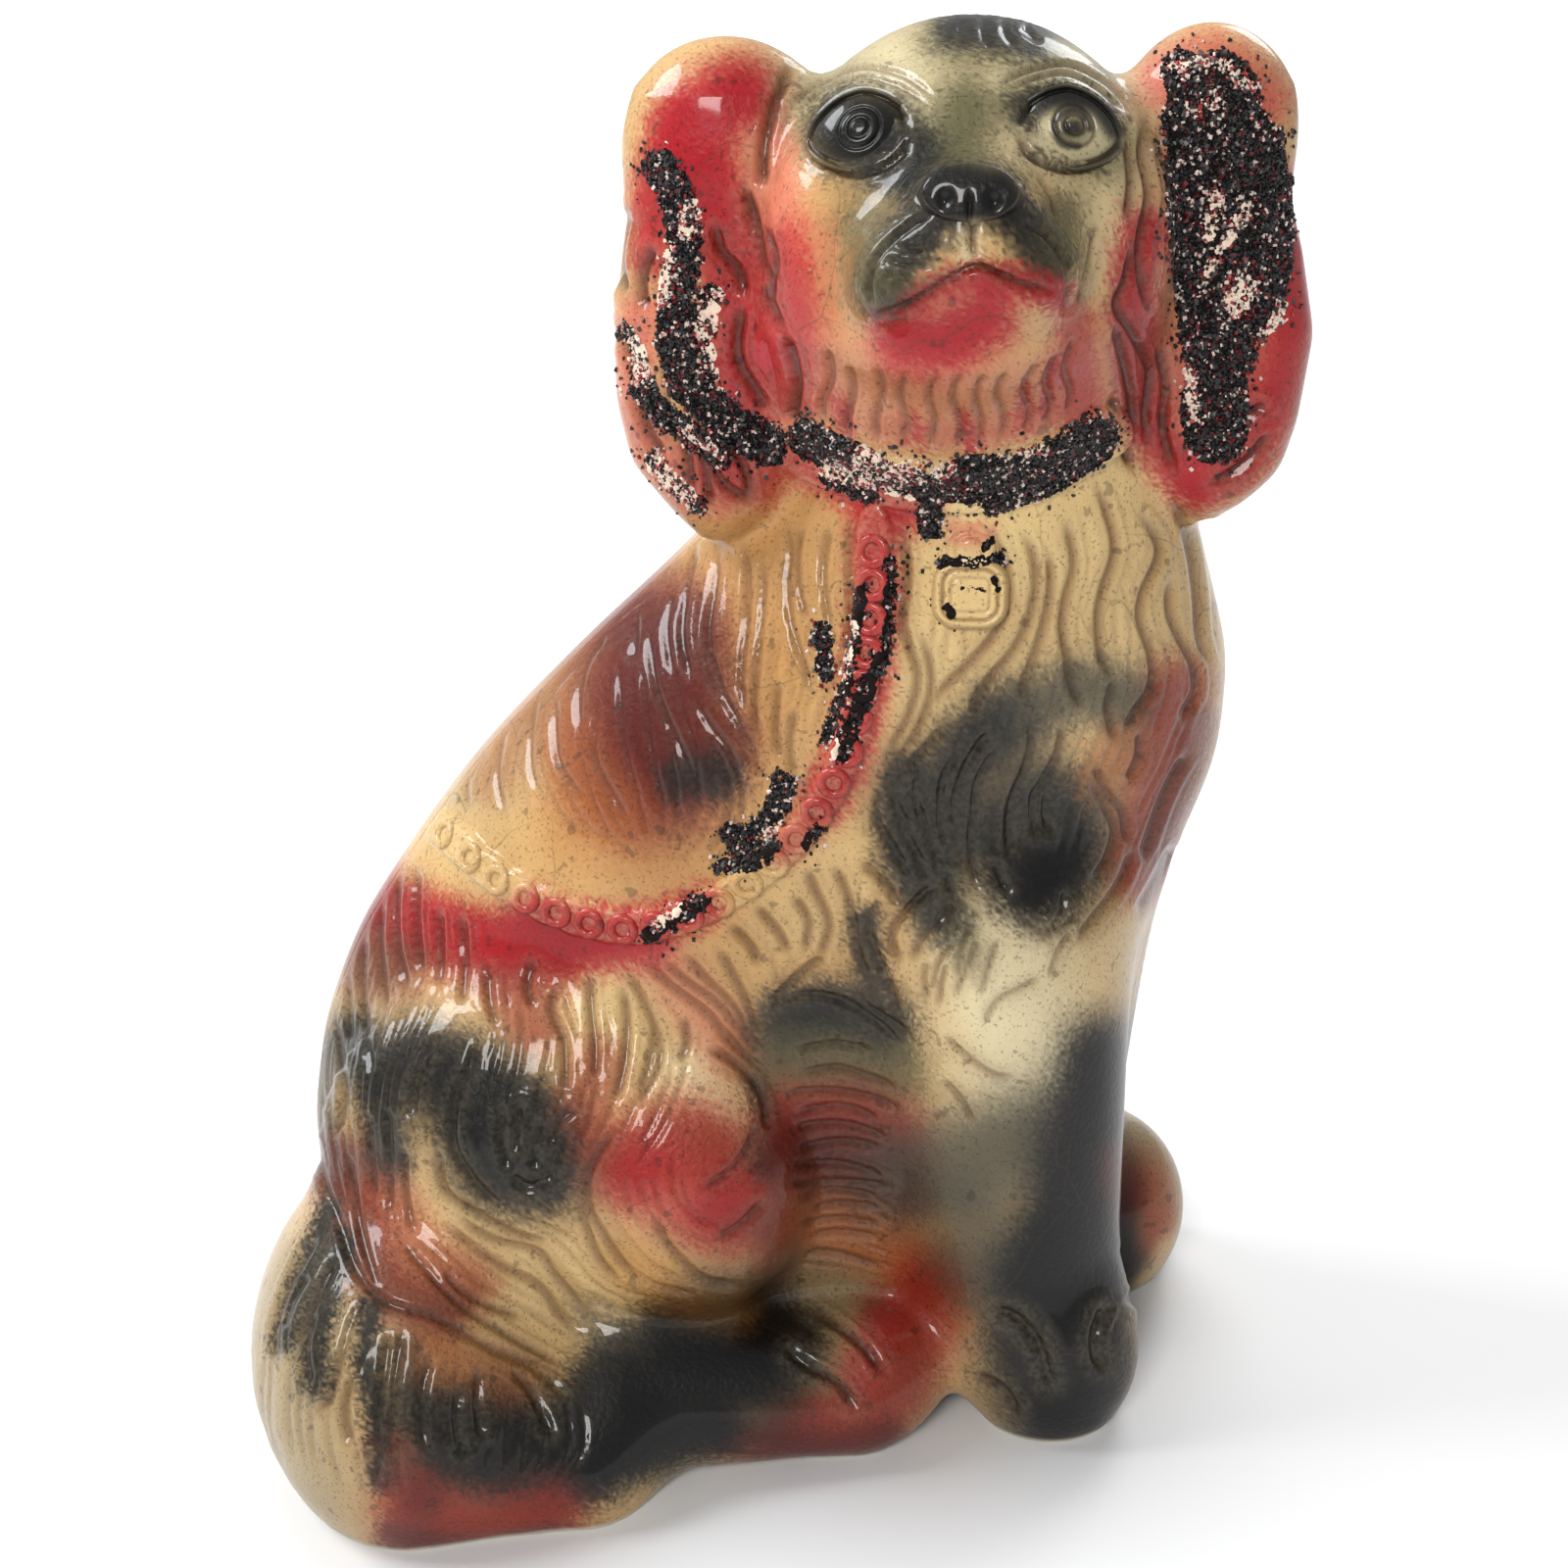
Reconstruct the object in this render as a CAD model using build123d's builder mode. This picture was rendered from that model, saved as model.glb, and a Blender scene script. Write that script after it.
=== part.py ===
from build123d import *
import os

# Hollow plaster spaniel, cast as a front and a back half and trimmed with bands of glitter

# Overall size of the seated figure
figure_width = 206.0
figure_depth = 130.0
figure_height = 282.0

# The cast: wall, parting plane and the plaster band that joins the halves inside
wall_thickness = 9.0
seam_band_width = 16.0
seam_band_thickness = 3.0

# Head
head_width = 66.0
head_depth = 68.0
head_height = 64.0
muzzle_width = 34.0
muzzle_length = 36.0
muzzle_height = 24.0
lip_width = 22.0
lip_length = 27.0
lip_height = 18.0
lip_spacing = 16.0
jaw_width = 44.0
jaw_length = 40.0
jaw_height = 26.0
cheek_diameter = 30.0
cheek_end_diameter = 28.0
cheek_spacing = 39.0
nose_width = 16.0
nose_height = 10.0
eye_diameter = 15.0
eye_spacing = 34.4

# Ears
ear_width = 40.0
ear_depth = 28.0
ear_length = 87.0
far_ear_width = 38.0
far_ear_depth = 28.0
far_ear_length = 84.0

# Legs, feet and tail
haunch_length = 100.0
haunch_thickness = 54.0
haunch_height = 92.0
knee_width = 48.0
knee_thickness = 36.0
knee_height = 54.0
foot_diameter = 36.0
toe_diameter = 26.0
foreleg_top_diameter = 60.0
foreleg_ankle_diameter = 42.0
paw_width = 38.0
paw_length = 34.0
paw_height = 46.0
far_leg_top_diameter = 48.0
far_leg_ankle_diameter = 32.0
far_paw_width = 40.0
far_paw_length = 38.0
far_paw_height = 48.0
far_paw_setback = 0.6
tail_width = 68.0
tail_depth = 90.0
tail_height = 80.0
brush_diameter = 48.0
brush_tip_diameter = 36.0

# Collar, padlock and chain, all raised in the plaster
collar_height = 11.0
collar_rise = 1.4
collar_tilt = 5.0
lock_width = 13.5
lock_height = 13.0
lock_thickness = 5.0
lock_edge_radius = 1.2
shackle_width = 9.0
shackle_height = 6.5
shackle_thickness = 4.0
link_diameter = 7.6
link_bar = 2.8
link_count = 22

# Glitter
glitter_thickness = 0.8
collar_glitter_width = 54.0
collar_glitter_height = 9.0
lock_glitter_height = 3.0

# Trunk levels: height, left, right, front and back edge,
# as shares of the figure's height, width and depth
trunk_level_shares = [
    (-0.035, -0.426, 0.327, -0.095, 0.460),
    (0.000, -0.439, 0.339, -0.115, 0.469),
    (0.089, -0.457, 0.349, -0.146, 0.485),
    (0.177, -0.464, 0.367, -0.169, 0.496),
    (0.266, -0.443, 0.382, -0.177, 0.500),
    (0.344, -0.399, 0.402, -0.177, 0.492),
    (0.426, -0.327, 0.436, -0.192, 0.485),
    (0.496, -0.253, 0.465, -0.208, 0.477),
    (0.571, -0.156, 0.465, -0.215, 0.462),
    (0.645, -0.049, 0.433, -0.208, 0.423),
    (0.709, 0.018, 0.406, -0.192, 0.377),
    (0.766, 0.048, 0.372, -0.169, 0.331),
    (0.812, 0.079, 0.317, -0.125, 0.250),
    (0.850, 0.089, 0.307, -0.115, 0.240),
]

# Places on the figure: shares of its width, depth and height
head_share = (0.193, -0.038, 0.887)
haunch_share = (-0.186, -0.085, 0.206)
knee_share = (-0.059, -0.177, 0.206)
heel_share = (-0.128, -0.238, 0.057)
toe_share = (0.106, -0.208, 0.043)
foreleg_top_share = (0.232, -0.008, 0.390)
foreleg_ankle_share = (0.280, -0.069, 0.085)
paw_share = (0.309, -0.131, 0.053)
far_leg_top_share = (0.309, 0.223, 0.390)
far_leg_ankle_share = (0.319, 0.254, 0.071)
far_paw_share = (0.389, 0.000, 0.057)
tail_share = (-0.335, -0.146, 0.071)
brush_share = (-0.312, -0.315, 0.050)
brush_tip_share = (-0.166, -0.308, 0.028)
collar_share = (0.208, 0.091, 0.741)
collar_glitter_share = (0.183, -0.060, 0.739)
lock_share = (0.198, 0.666)
lock_corner_share = 0.3
band_corner_share = 0.4

# Places on the head: shares of its width, depth and height
muzzle_share = (-0.030, -0.441, -0.016)
lip_share = (-0.038, -0.500, -0.070)
jaw_share = (-0.038, -0.324, -0.250)
cheek_top_share = (-0.030, -0.200, 0.020)
cheek_end_share = (-0.030, -0.210, -0.230)
nose_share = (-0.038, -0.600, 0.120)
eye_share = (-0.032, -0.280, 0.250)
parting_share = (0.0, 0.280, 0.0)
ear_share = (-0.636, 0.059, -0.250)
far_ear_share = (0.682, 0.059, -0.203)

# Ear levels about the ear's middle: height, left, right, front and back edge,
# as shares of its length, width and depth
ear_level_shares = [
    (-0.494, -0.175, 0.050, -0.290, 0.070),
    (-0.437, -0.288, 0.225, -0.400, 0.250),
    (-0.345, -0.450, 0.350, -0.460, 0.360),
    (-0.207, -0.513, 0.375, -0.500, 0.430),
    (0.000, -0.510, 0.350, -0.500, 0.450),
    (0.207, -0.440, 0.375, -0.460, 0.500),
    (0.345, -0.380, 0.450, -0.390, 0.500),
    (0.425, -0.280, 0.450, -0.320, 0.460),
    (0.477, -0.110, 0.350, -0.200, 0.350),
    (0.500, 0.000, 0.200, -0.070, 0.200),
]
far_ear_level_shares = [
    (-0.500, -0.105, 0.130, -0.250, 0.050),
    (-0.405, -0.290, 0.370, -0.420, 0.270),
    (-0.298, -0.395, 0.434, -0.480, 0.380),
    (-0.107, -0.408, 0.474, -0.500, 0.440),
    (0.071, -0.395, 0.382, -0.490, 0.470),
    (0.226, -0.408, 0.276, -0.450, 0.500),
    (0.357, -0.474, 0.197, -0.380, 0.500),
    (0.440, -0.434, 0.079, -0.300, 0.420),
    (0.488, -0.342, -0.053, -0.150, 0.300),
    (0.502, -0.263, -0.158, -0.030, 0.150),
]

# Middle of the chain, seen from the front: shares of the figure's width and height
chain_shares = [
    (0.114, 0.690),
    (0.116, 0.655),
    (0.107, 0.600),
    (0.074, 0.530),
    (0.025, 0.466),
    (-0.040, 0.430),
    (-0.124, 0.411),
    (-0.203, 0.418),
    (-0.257, 0.440),
]

# Outlines of the glitter beside the chain, seen from the front: shares of the figure's width and height
upper_chain_band_shares = [
    (0.139, 0.690),
    (0.154, 0.690),
    (0.156, 0.620),
    (0.140, 0.565),
    (0.122, 0.565),
    (0.136, 0.620),
]
lower_chain_band_shares = [
    (0.045, 0.560),
    (0.051, 0.532),
    (0.003, 0.480),
    (-0.054, 0.447),
    (-0.072, 0.456),
    (-0.025, 0.486),
    (0.017, 0.530),
]

# Outlines of the glitter on the ears, seen from the front: shares of the flap's width and length
ear_band_shares = [
    (-0.34, 0.38),
    (-0.12, 0.40),
    (0.02, 0.27),
    (-0.08, 0.08),
    (-0.12, -0.06),
    (0.08, -0.16),
    (0.34, -0.27),
    (0.20, -0.36),
    (-0.14, -0.24),
    (-0.36, -0.08),
    (-0.26, 0.16),
]
far_ear_band_shares = [
    (-0.30, 0.44),
    (0.04, 0.46),
    (0.30, 0.26),
    (0.36, -0.06),
    (0.22, -0.30),
    (-0.02, -0.40),
    (-0.26, -0.28),
    (-0.24, 0.04),
]


def place(shares):
    """A point of the figure, from its shares of the width, depth and height."""
    return Vector(shares[0] * figure_width, shares[1] * figure_depth, shares[2] * figure_height)


head_centre = place(head_share)


def on_head(shares, side=0):
    """A point of the head, moved sideways for the left or the right one of a pair."""
    return head_centre + Vector(shares[0] * head_width + side, shares[1] * head_depth,
                                shares[2] * head_height)


parting_depth = on_head(parting_share).Y
far_paw_middle = parting_depth + far_paw_setback + far_paw_length / 2
far_paw_centre = place(far_paw_share) + Vector(0, far_paw_middle, 0)


def egg(centre, width, depth, height, pole_turn=0):
    """A ball stretched to three diameters about its centre; its poles turn from upright to sideways."""
    unit_ball = Rotation(0, pole_turn, 0) * Sphere(1, mode=Mode.PRIVATE)
    return Pos(centre) * scale(unit_ball, by=(width / 2, depth / 2, height / 2), mode=Mode.PRIVATE)


def limb(start, end, start_diameter, end_diameter):
    """A round tapering limb with a ball at each end."""
    axis = Plane(origin=start, z_dir=end - start)
    with BuildPart() as shaft:
        with BuildSketch(axis):
            Circle(start_diameter / 2)
        with BuildSketch(axis.offset((end - start).length)):
            Circle(end_diameter / 2)
        loft(ruled=True)
        with Locations(start):
            Sphere(start_diameter / 2)
        with Locations(end):
            Sphere(end_diameter / 2)
    return shaft.part


def level_loft(level_shares, middle, width, depth, height, growth):
    """A smooth loft through level ellipses about a middle, drawn out all round by a growth."""
    sections = []
    for up, left, right, front, back in level_shares:
        centre = middle + Vector((left + right) / 2 * width, (front + back) / 2 * depth, up * height)
        with BuildSketch(Plane(centre)) as level:
            Ellipse((right - left) / 2 * width + growth, (back - front) / 2 * depth + growth)
        sections.append(level.sketch)
    with BuildPart() as body:
        loft(sections)
    return body.part


def trunk_form(growth):
    """The trunk and the neck, up into the head."""
    return level_loft(trunk_level_shares, Vector(0, 0, 0), figure_width, figure_depth, figure_height, growth)


def near_ear_form(growth):
    """The ear on the left of the front view."""
    return level_loft(ear_level_shares, on_head(ear_share), ear_width, ear_depth, ear_length, growth)


def far_ear_form(growth):
    """The ear on the right of the front view."""
    return level_loft(far_ear_level_shares, on_head(far_ear_share), far_ear_width, far_ear_depth,
                      far_ear_length, growth)


def hollow_space(inset):
    """The open space inside the cast, at a distance from its outer forms."""
    with BuildPart() as space:
        add(trunk_form(-inset))
        with Locations(head_centre):
            Sphere(min(head_width, head_depth, head_height) / 2 - inset)
    return space.part


def below_ground():
    """The block under the resting plane, which trims every form flat."""
    with BuildPart() as ground:
        Box(figure_width * 2, figure_depth * 2, figure_height,
            align=(Align.CENTER, Align.CENTER, Align.MAX))
    return ground.part


# Outer forms of the figure
outer_forms = [
    egg(place(haunch_share), haunch_length, haunch_thickness, haunch_height),
    egg(place(knee_share), knee_width, knee_thickness, knee_height),
    limb(place(heel_share), place(toe_share), foot_diameter, toe_diameter),
    limb(place(foreleg_top_share), place(foreleg_ankle_share), foreleg_top_diameter, foreleg_ankle_diameter),
    egg(place(paw_share), paw_width, paw_length, paw_height),
    limb(place(far_leg_top_share), place(far_leg_ankle_share), far_leg_top_diameter, far_leg_ankle_diameter),
    egg(far_paw_centre, far_paw_width, far_paw_length, far_paw_height),
    egg(place(tail_share), tail_width, tail_depth, tail_height),
    limb(place(brush_share), place(brush_tip_share), brush_diameter, brush_tip_diameter),
    egg(head_centre, head_width, head_depth, head_height, pole_turn=90),
    egg(on_head(muzzle_share), muzzle_width, muzzle_length, muzzle_height),
    egg(on_head(jaw_share), jaw_width, jaw_length, jaw_height, pole_turn=90),
    near_ear_form(0),
    far_ear_form(0),
]
for side in (-1, 1):
    lip_centre = on_head(lip_share, side * lip_spacing / 2)
    outer_forms.append(egg(lip_centre, lip_width, lip_length, lip_height))
    cheek_top = on_head(cheek_top_share, side * cheek_spacing / 2)
    cheek_end = on_head(cheek_end_share, side * cheek_spacing / 2)
    outer_forms.append(limb(cheek_top, cheek_end, cheek_diameter, cheek_end_diameter))
nose_left = on_head(nose_share, (nose_height - nose_width) / 2)
nose_right = on_head(nose_share, (nose_width - nose_height) / 2)
outer_forms.append(limb(nose_left, nose_right, nose_height, nose_height))

# Collar: the neck drawn out by its rise, within a tilted slab
with BuildPart() as collar:
    add(trunk_form(collar_rise))
    with Locations(Location(place(collar_share), (0, -collar_tilt, 0))):
        Box(figure_width, figure_depth * 2, collar_height, mode=Mode.INTERSECT)

with BuildPart() as solid_figure:
    add([trunk_form(0), *outer_forms, collar.part])
    with Locations([on_head(eye_share, -eye_spacing / 2), on_head(eye_share, eye_spacing / 2)]):
        Sphere(eye_diameter / 2)
    add(below_ground(), mode=Mode.SUBTRACT)
figure_skin = solid_figure.part.shell()


def seat_on_front(across, up):
    """The plane that lies on the figure's front surface, at a place seen from the front."""
    sight = Axis((across, -figure_depth, up), (0, 1, 0))
    point, normal = figure_skin.find_intersection_points(sight)[0]
    return Plane(origin=point, x_dir=Vector(0, 0, 1).cross(normal), z_dir=normal)


# Padlock: a rounded body and a solid shackle, half sunk in the chest
lock_seat = seat_on_front(lock_share[0] * figure_width, lock_share[1] * figure_height)
with BuildPart() as padlock:
    with BuildSketch(lock_seat.offset(-lock_thickness / 2)):
        RectangleRounded(lock_width, lock_height, lock_width * lock_corner_share)
    extrude(amount=lock_thickness)
    lock_face = padlock.faces().sort_by(Axis(lock_seat.origin, lock_seat.z_dir))[-1]
    fillet(lock_face.edges(), lock_edge_radius)
    with BuildSketch(lock_seat.offset(-shackle_thickness / 2)):
        with Locations((0, lock_height / 2)):
            RectangleRounded(shackle_width, shackle_height * 2, shackle_width * lock_corner_share)
    extrude(amount=shackle_thickness)

# Chain: round links in a row, half sunk in the chest and the flank
with BuildLine() as chain_run:
    Spline([(across * figure_width, up * figure_height) for across, up in chain_shares])
link_spots = [chain_run.line @ (link / (link_count - 1)) for link in range(link_count)]
with BuildPart() as chain:
    with Locations([seat_on_front(spot.X, spot.Y).location for spot in link_spots]):
        Torus((link_diameter - link_bar) / 2, link_bar / 2)

# The cast in its two halves, open underneath
parting_plane = Plane.XZ.offset(-parting_depth)
hollow = hollow_space(wall_thickness)
with BuildPart() as front_cast_half:
    add(solid_figure.part)
    split(bisect_by=parting_plane, keep=Keep.TOP)
    add([padlock.part, chain.part])
    add(hollow, mode=Mode.SUBTRACT)

with BuildPart() as back_cast_half:
    add(solid_figure.part)
    split(bisect_by=parting_plane, keep=Keep.BOTTOM)
    add(hollow, mode=Mode.SUBTRACT)

# Band of plaster over the joint, all the way round inside
with BuildPart() as seam_plaster_band:
    add(hollow)
    add(hollow_space(wall_thickness + seam_band_thickness), mode=Mode.SUBTRACT)
    with Locations((0, parting_depth, 0)):
        Box(figure_width * 2, seam_band_width, figure_height * 2, mode=Mode.INTERSECT)
    add(below_ground(), mode=Mode.SUBTRACT)


# Glitter, a thin skin over the plaster that carries it
def glitter_within(outline, drawn_out_form, depth):
    """A skin that lies on the figure in front of a depth, inside an outline seen from the front."""
    with BuildPart() as skin:
        add(drawn_out_form)
        with BuildSketch(Plane.XZ.offset(-depth)) as stencil:
            with BuildLine():
                Polyline(outline, close=True)
            make_face()
            fillet(stencil.vertices(), stencil.edges().sort_by(SortBy.LENGTH)[0].length * band_corner_share)
        extrude(amount=figure_depth, mode=Mode.INTERSECT)
        add(solid_figure.part, mode=Mode.SUBTRACT)
    return skin.part


def outline_on(middle, width, height, shares):
    """The points of an outline, from shares of a width and a height about a middle."""
    return [(middle.X + across * width, middle.Z + up * height) for across, up in shares]


with BuildPart() as left_ear_glitter:
    add(glitter_within(outline_on(on_head(ear_share), ear_width, ear_length, ear_band_shares),
                       near_ear_form(glitter_thickness), on_head(ear_share).Y))

with BuildPart() as right_ear_glitter:
    add(glitter_within(outline_on(on_head(far_ear_share), far_ear_width, far_ear_length, far_ear_band_shares),
                       far_ear_form(glitter_thickness), on_head(far_ear_share).Y))

with BuildPart() as collar_glitter:
    add(trunk_form(collar_rise + glitter_thickness))
    with Locations(Location(place(collar_glitter_share), (0, -collar_tilt, 0))):
        Box(collar_glitter_width, figure_depth, collar_glitter_height,
            align=(Align.CENTER, Align.MAX, Align.CENTER), mode=Mode.INTERSECT)
    add([trunk_form(collar_rise), padlock.part, near_ear_form(0), far_ear_form(0)], mode=Mode.SUBTRACT)

figure_origin = Vector(0, 0, 0)
with BuildPart() as upper_chain_glitter:
    add(glitter_within(outline_on(figure_origin, figure_width, figure_height, upper_chain_band_shares),
                       trunk_form(glitter_thickness), parting_depth))

with BuildPart() as lower_chain_glitter:
    add(glitter_within(outline_on(figure_origin, figure_width, figure_height, lower_chain_band_shares),
                       trunk_form(glitter_thickness), parting_depth))

with BuildPart() as padlock_glitter:
    with BuildSketch(lock_seat.offset(lock_thickness / 2)):
        with Locations((0, (lock_height - lock_glitter_height) / 2 - lock_edge_radius)):
            Rectangle(lock_width - 2 * lock_edge_radius, lock_glitter_height)
    extrude(amount=glitter_thickness)

pieces = {
    "front_cast_half": front_cast_half,
    "back_cast_half": back_cast_half,
    "seam_plaster_band": seam_plaster_band,
    "left_ear_glitter": left_ear_glitter,
    "right_ear_glitter": right_ear_glitter,
    "collar_glitter": collar_glitter,
    "padlock_glitter": padlock_glitter,
    "upper_chain_glitter": upper_chain_glitter,
    "lower_chain_glitter": lower_chain_glitter,
}
os.makedirs("parts", exist_ok=True)
for name, piece in pieces.items():
    piece.part.label = name
    export_step(piece.part, f"parts/{name}.step")
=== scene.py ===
import math

import bmesh
import bpy
import numpy as np
import openvdb
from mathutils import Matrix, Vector


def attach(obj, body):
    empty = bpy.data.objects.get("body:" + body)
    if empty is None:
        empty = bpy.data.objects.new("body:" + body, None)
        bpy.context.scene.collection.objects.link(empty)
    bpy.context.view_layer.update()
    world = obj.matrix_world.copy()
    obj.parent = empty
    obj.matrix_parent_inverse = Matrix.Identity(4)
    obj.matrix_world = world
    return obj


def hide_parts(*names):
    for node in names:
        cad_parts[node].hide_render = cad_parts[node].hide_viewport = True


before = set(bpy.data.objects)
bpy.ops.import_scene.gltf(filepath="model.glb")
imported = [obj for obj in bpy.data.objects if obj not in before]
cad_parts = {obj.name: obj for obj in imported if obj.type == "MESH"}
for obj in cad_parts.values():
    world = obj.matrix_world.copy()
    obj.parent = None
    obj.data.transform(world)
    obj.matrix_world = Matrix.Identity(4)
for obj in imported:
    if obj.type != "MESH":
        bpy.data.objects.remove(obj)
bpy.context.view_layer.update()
print("frame loaded")

# Forms are given in millimetres from the middle of the neck, and the frame's zero lies this far away
neckToFrame = np.array([7.75, 15.0, 0.0])
millimetre = 0.001

# The camera that took the picture, in the same millimetres; pixels are those of its 1600 x 1600 frame
photoCamera = dict(eye=(0.0, -420.0, 318.0), tiltDegrees=24.0, focalPixels=2298.0, framePixels=1600, sensorMm=36.0)

tilt = math.radians(photoCamera["tiltDegrees"])
cameraEye = np.array(photoCamera["eye"])
cameraForward = np.array([0.0, math.cos(tilt), -math.sin(tilt)])
cameraUp = np.array([0.0, math.sin(tilt), math.cos(tilt)])
frameMiddle = photoCamera["framePixels"] / 2


def photoPixels(points):
    # where points on the figure fall in the picture
    away = points - cameraEye
    depth = away @ cameraForward
    across = frameMiddle + photoCamera["focalPixels"] * away[:, 0] / depth
    down = frameMiddle - photoCamera["focalPixels"] * (away @ cameraUp) / depth
    return np.stack([across, down], axis=1)


def smoothStep(low, high, value):
    share = np.clip((value - low) / (high - low), 0.0, 1.0)
    return share * share * (3.0 - 2.0 * share)


# The cast's forms. Level rows are height, then left, right, front and back of the cross-section
cast = dict(
    voxel=2.6,
    # level rows are read every half millimetre and smoothed, the short columns less than the trunk
    levelStep=0.5, levelMargin=30.0, levelSoftness=6.0, columnSoftness=45.0, smoothingSteps=40,
    trunkLevels=[
        (-9, -97, 61, -30, 46), (0, -98, 62, -30, 46), (25, -102, 64, -34, 48), (50, -103.5, 68, -37, 49.5),
        (75, -99, 71, -38, 50), (97, -90, 75, -38, 49), (120, -75, 82, -40, 48), (140, -60, 88, -42, 47),
        (161, -40, 88, -43, 45), (182, -18, 81.5, -42, 40), (200, -4, 76, -40, 34), (216, 2, 69, -37, 28),
        (229, 6, 62, -34, 22), (238, 9, 56, -30, 17),
    ],
    nearEarLevels=[
        (190, -15, -10, -20, -12), (191.5, -17.5, -7, -25, -7), (196, -21.5, -1, -28, -4), (204, -28, 4, -30, -2),
        (216, -30.5, 5, -30, -2), (234, -30.4, 4, -30, -2), (252, -27.6, 5, -29, -3), (262, -25, 5, -27, -5),
        (266, -22, 2, -24, -8),
    ],
    farEarLevels=[
        (194, 75, 80, -20, -12), (196, 72, 84, -25, -7), (203, 66, 91, -29, -3), (212, 62, 93.5, -30, -2),
        (228, 61.5, 95, -30, -2), (243, 62, 91.5, -30, -2), (254, 61.5, 88, -29, -3), (262, 62, 85.5, -27, -5),
        (266, 64, 83, -24, -8),
    ],
    # name, kind, places and sizes, blend into what is already there
    forms=[
        ("haunch", "egg", (-46, -26, 58), (50, 27, 46), 7),
        ("knee", "egg", (-20, -38, 58), (24, 18, 27), 8),
        ("hindFoot", "limb", (-34, -46, 16), (14, -42, 12), 18, 13, 8),
        ("hindToes", "egg", (14, -38, 12), (20, 12, 15), 7),
        ("foreleg", "limb", (40, -16, 110), (50, -24, 24), 30, 21, 12),
        ("forePaw", "egg", (56, -32, 15), (19, 17, 23), 7),
        ("farLeg", "limb", (56, 14, 110), (58, 18, 20), 24, 16, 8),
        ("farPaw", "egg", (72.4, 18.7, 16), (20, 19, 24), 7),
        ("tail", "egg", (-76.5, -34, 20), (34, 45, 40), 8),
        ("brush", "limb", (-72, -56, 14), (-42, -55, 8), 24, 18, 8),
        ("skull", "egg", (32, -20, 250), (33, 34, 32), 8),
        ("nearCheek", "egg", (11, -34, 243), (15, 16, 22), 10),
        ("farCheek", "egg", (50, -34, 243), (15, 16, 22), 10),
        ("ruff", "egg", (31, -22, 227), (37, 21, 22), 10),
        ("muzzle", "egg", (30, -50, 249), (17, 18, 12), 6),
        ("nearLip", "egg", (21.5, -54, 245), (11, 13, 9), 4),
        ("farLip", "egg", (37.5, -54, 246), (10.5, 13, 8.5), 4),
        ("jaw", "egg", (29.5, -42, 234), (22, 20, 13), 8),
        ("beard", "egg", (30, -33, 221), (24, 17.5, 15), 8),
        ("nose", "egg", (29.5, -56.5, 256.5), (9.0, 8.5, 6.5), 6),
        ("nearEarTop", "egg", (-10, -16, 262), (17.5, 13, 16.3), 7),
        ("farEarTop", "egg", (73.5, -16, 264), (15.5, 13, 16.3), 7),
    ],
    earBlend=7.0,
    earCorner=2.3,
    wall=9.0,
    headHollow=((32, -20, 250), (23, 23, 23)),
    neckBlend=4.0,
    hollowVoxel=4.5,
    partingDepth=-0.9,
    # boxes in which the skins are looked for, and how near a cut its rim begins
    skinRange=((-125, -112, -8), (110, 62, 296)),
    hollowRange=((-110, -60, -20), (100, 60, 290)),
    rimWidth=0.02,
    crown=290,
    # heights at which the front skin is shared out among its pieces
    frontPieces=dict(headFront=(206, 300), chestFront=(128, 206), flankFront=(62, 128), feetFront=(-5, 62)),
)


def levelCurve(levels, column, heights):
    # a level column as a smooth curve over the height
    rows = np.array(levels, float)
    fine = np.arange(rows[0, 0] - cast["levelMargin"], rows[-1, 0] + cast["levelMargin"], cast["levelStep"])
    values = np.interp(fine, rows[:, 0], rows[:, column])
    softness = min(cast["levelSoftness"], (rows[-1, 0] - rows[0, 0]) / cast["columnSoftness"])
    steps = cast["smoothingSteps"]
    reach = cast["levelStep"] * np.arange(-steps, steps + 1)
    kernel = np.exp(-0.5 * (reach / softness) ** 2)
    values = np.convolve(np.pad(values, steps, mode="edge"), kernel / kernel.sum(), mode="valid")
    return np.interp(heights, fine, values)


def columnField(points, levels, corner=2.0, inset=0.0):
    # distance to a column of cross-sections, each drawn in by an inset
    heights = points[:, 2]
    left, right, front, back = [levelCurve(levels, column, heights) for column in (1, 2, 3, 4)]
    acrossHalf = np.maximum((right - left) / 2 - inset, 0.5)
    deepHalf = np.maximum((back - front) / 2 - inset, 0.5)
    across = np.abs(points[:, 0] - (left + right) / 2) / acrossHalf
    deep = np.abs(points[:, 1] - (front + back) / 2) / deepHalf
    ring = (across ** corner + deep ** corner) ** (1 / corner) + 1e-9
    slope = np.sqrt((across / ring / acrossHalf) ** 2 + (deep / ring / deepHalf) ** 2)
    wall = np.minimum((ring - 1.0) / np.maximum(slope, 1e-3), (ring - 1.0) * np.maximum(acrossHalf, deepHalf))
    return np.maximum(wall, np.maximum(levels[0][0] - heights, heights - levels[-1][0]))


def eggField(points, middle, radii):
    scaled = (points - np.array(middle)) / np.array(radii)
    near = np.linalg.norm(scaled, axis=1)
    slope = np.linalg.norm(scaled / np.array(radii), axis=1)
    return near * (near - 1.0) / np.maximum(slope, 1e-6)


def limbField(points, start, end, startRadius, endRadius):
    start, end = np.array(start, float), np.array(end, float)
    along = end - start
    share = np.clip((points - start) @ along / (along @ along), 0.0, 1.0)
    away = np.linalg.norm(points - start - share[:, None] * along, axis=1)
    return away - (startRadius + (endRadius - startRadius) * share)


def softJoin(one, other, blend):
    share = np.clip(0.5 + 0.5 * (other - one) / blend, 0.0, 1.0)
    return other * (1.0 - share) + one * share - blend * share * (1.0 - share)


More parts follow.
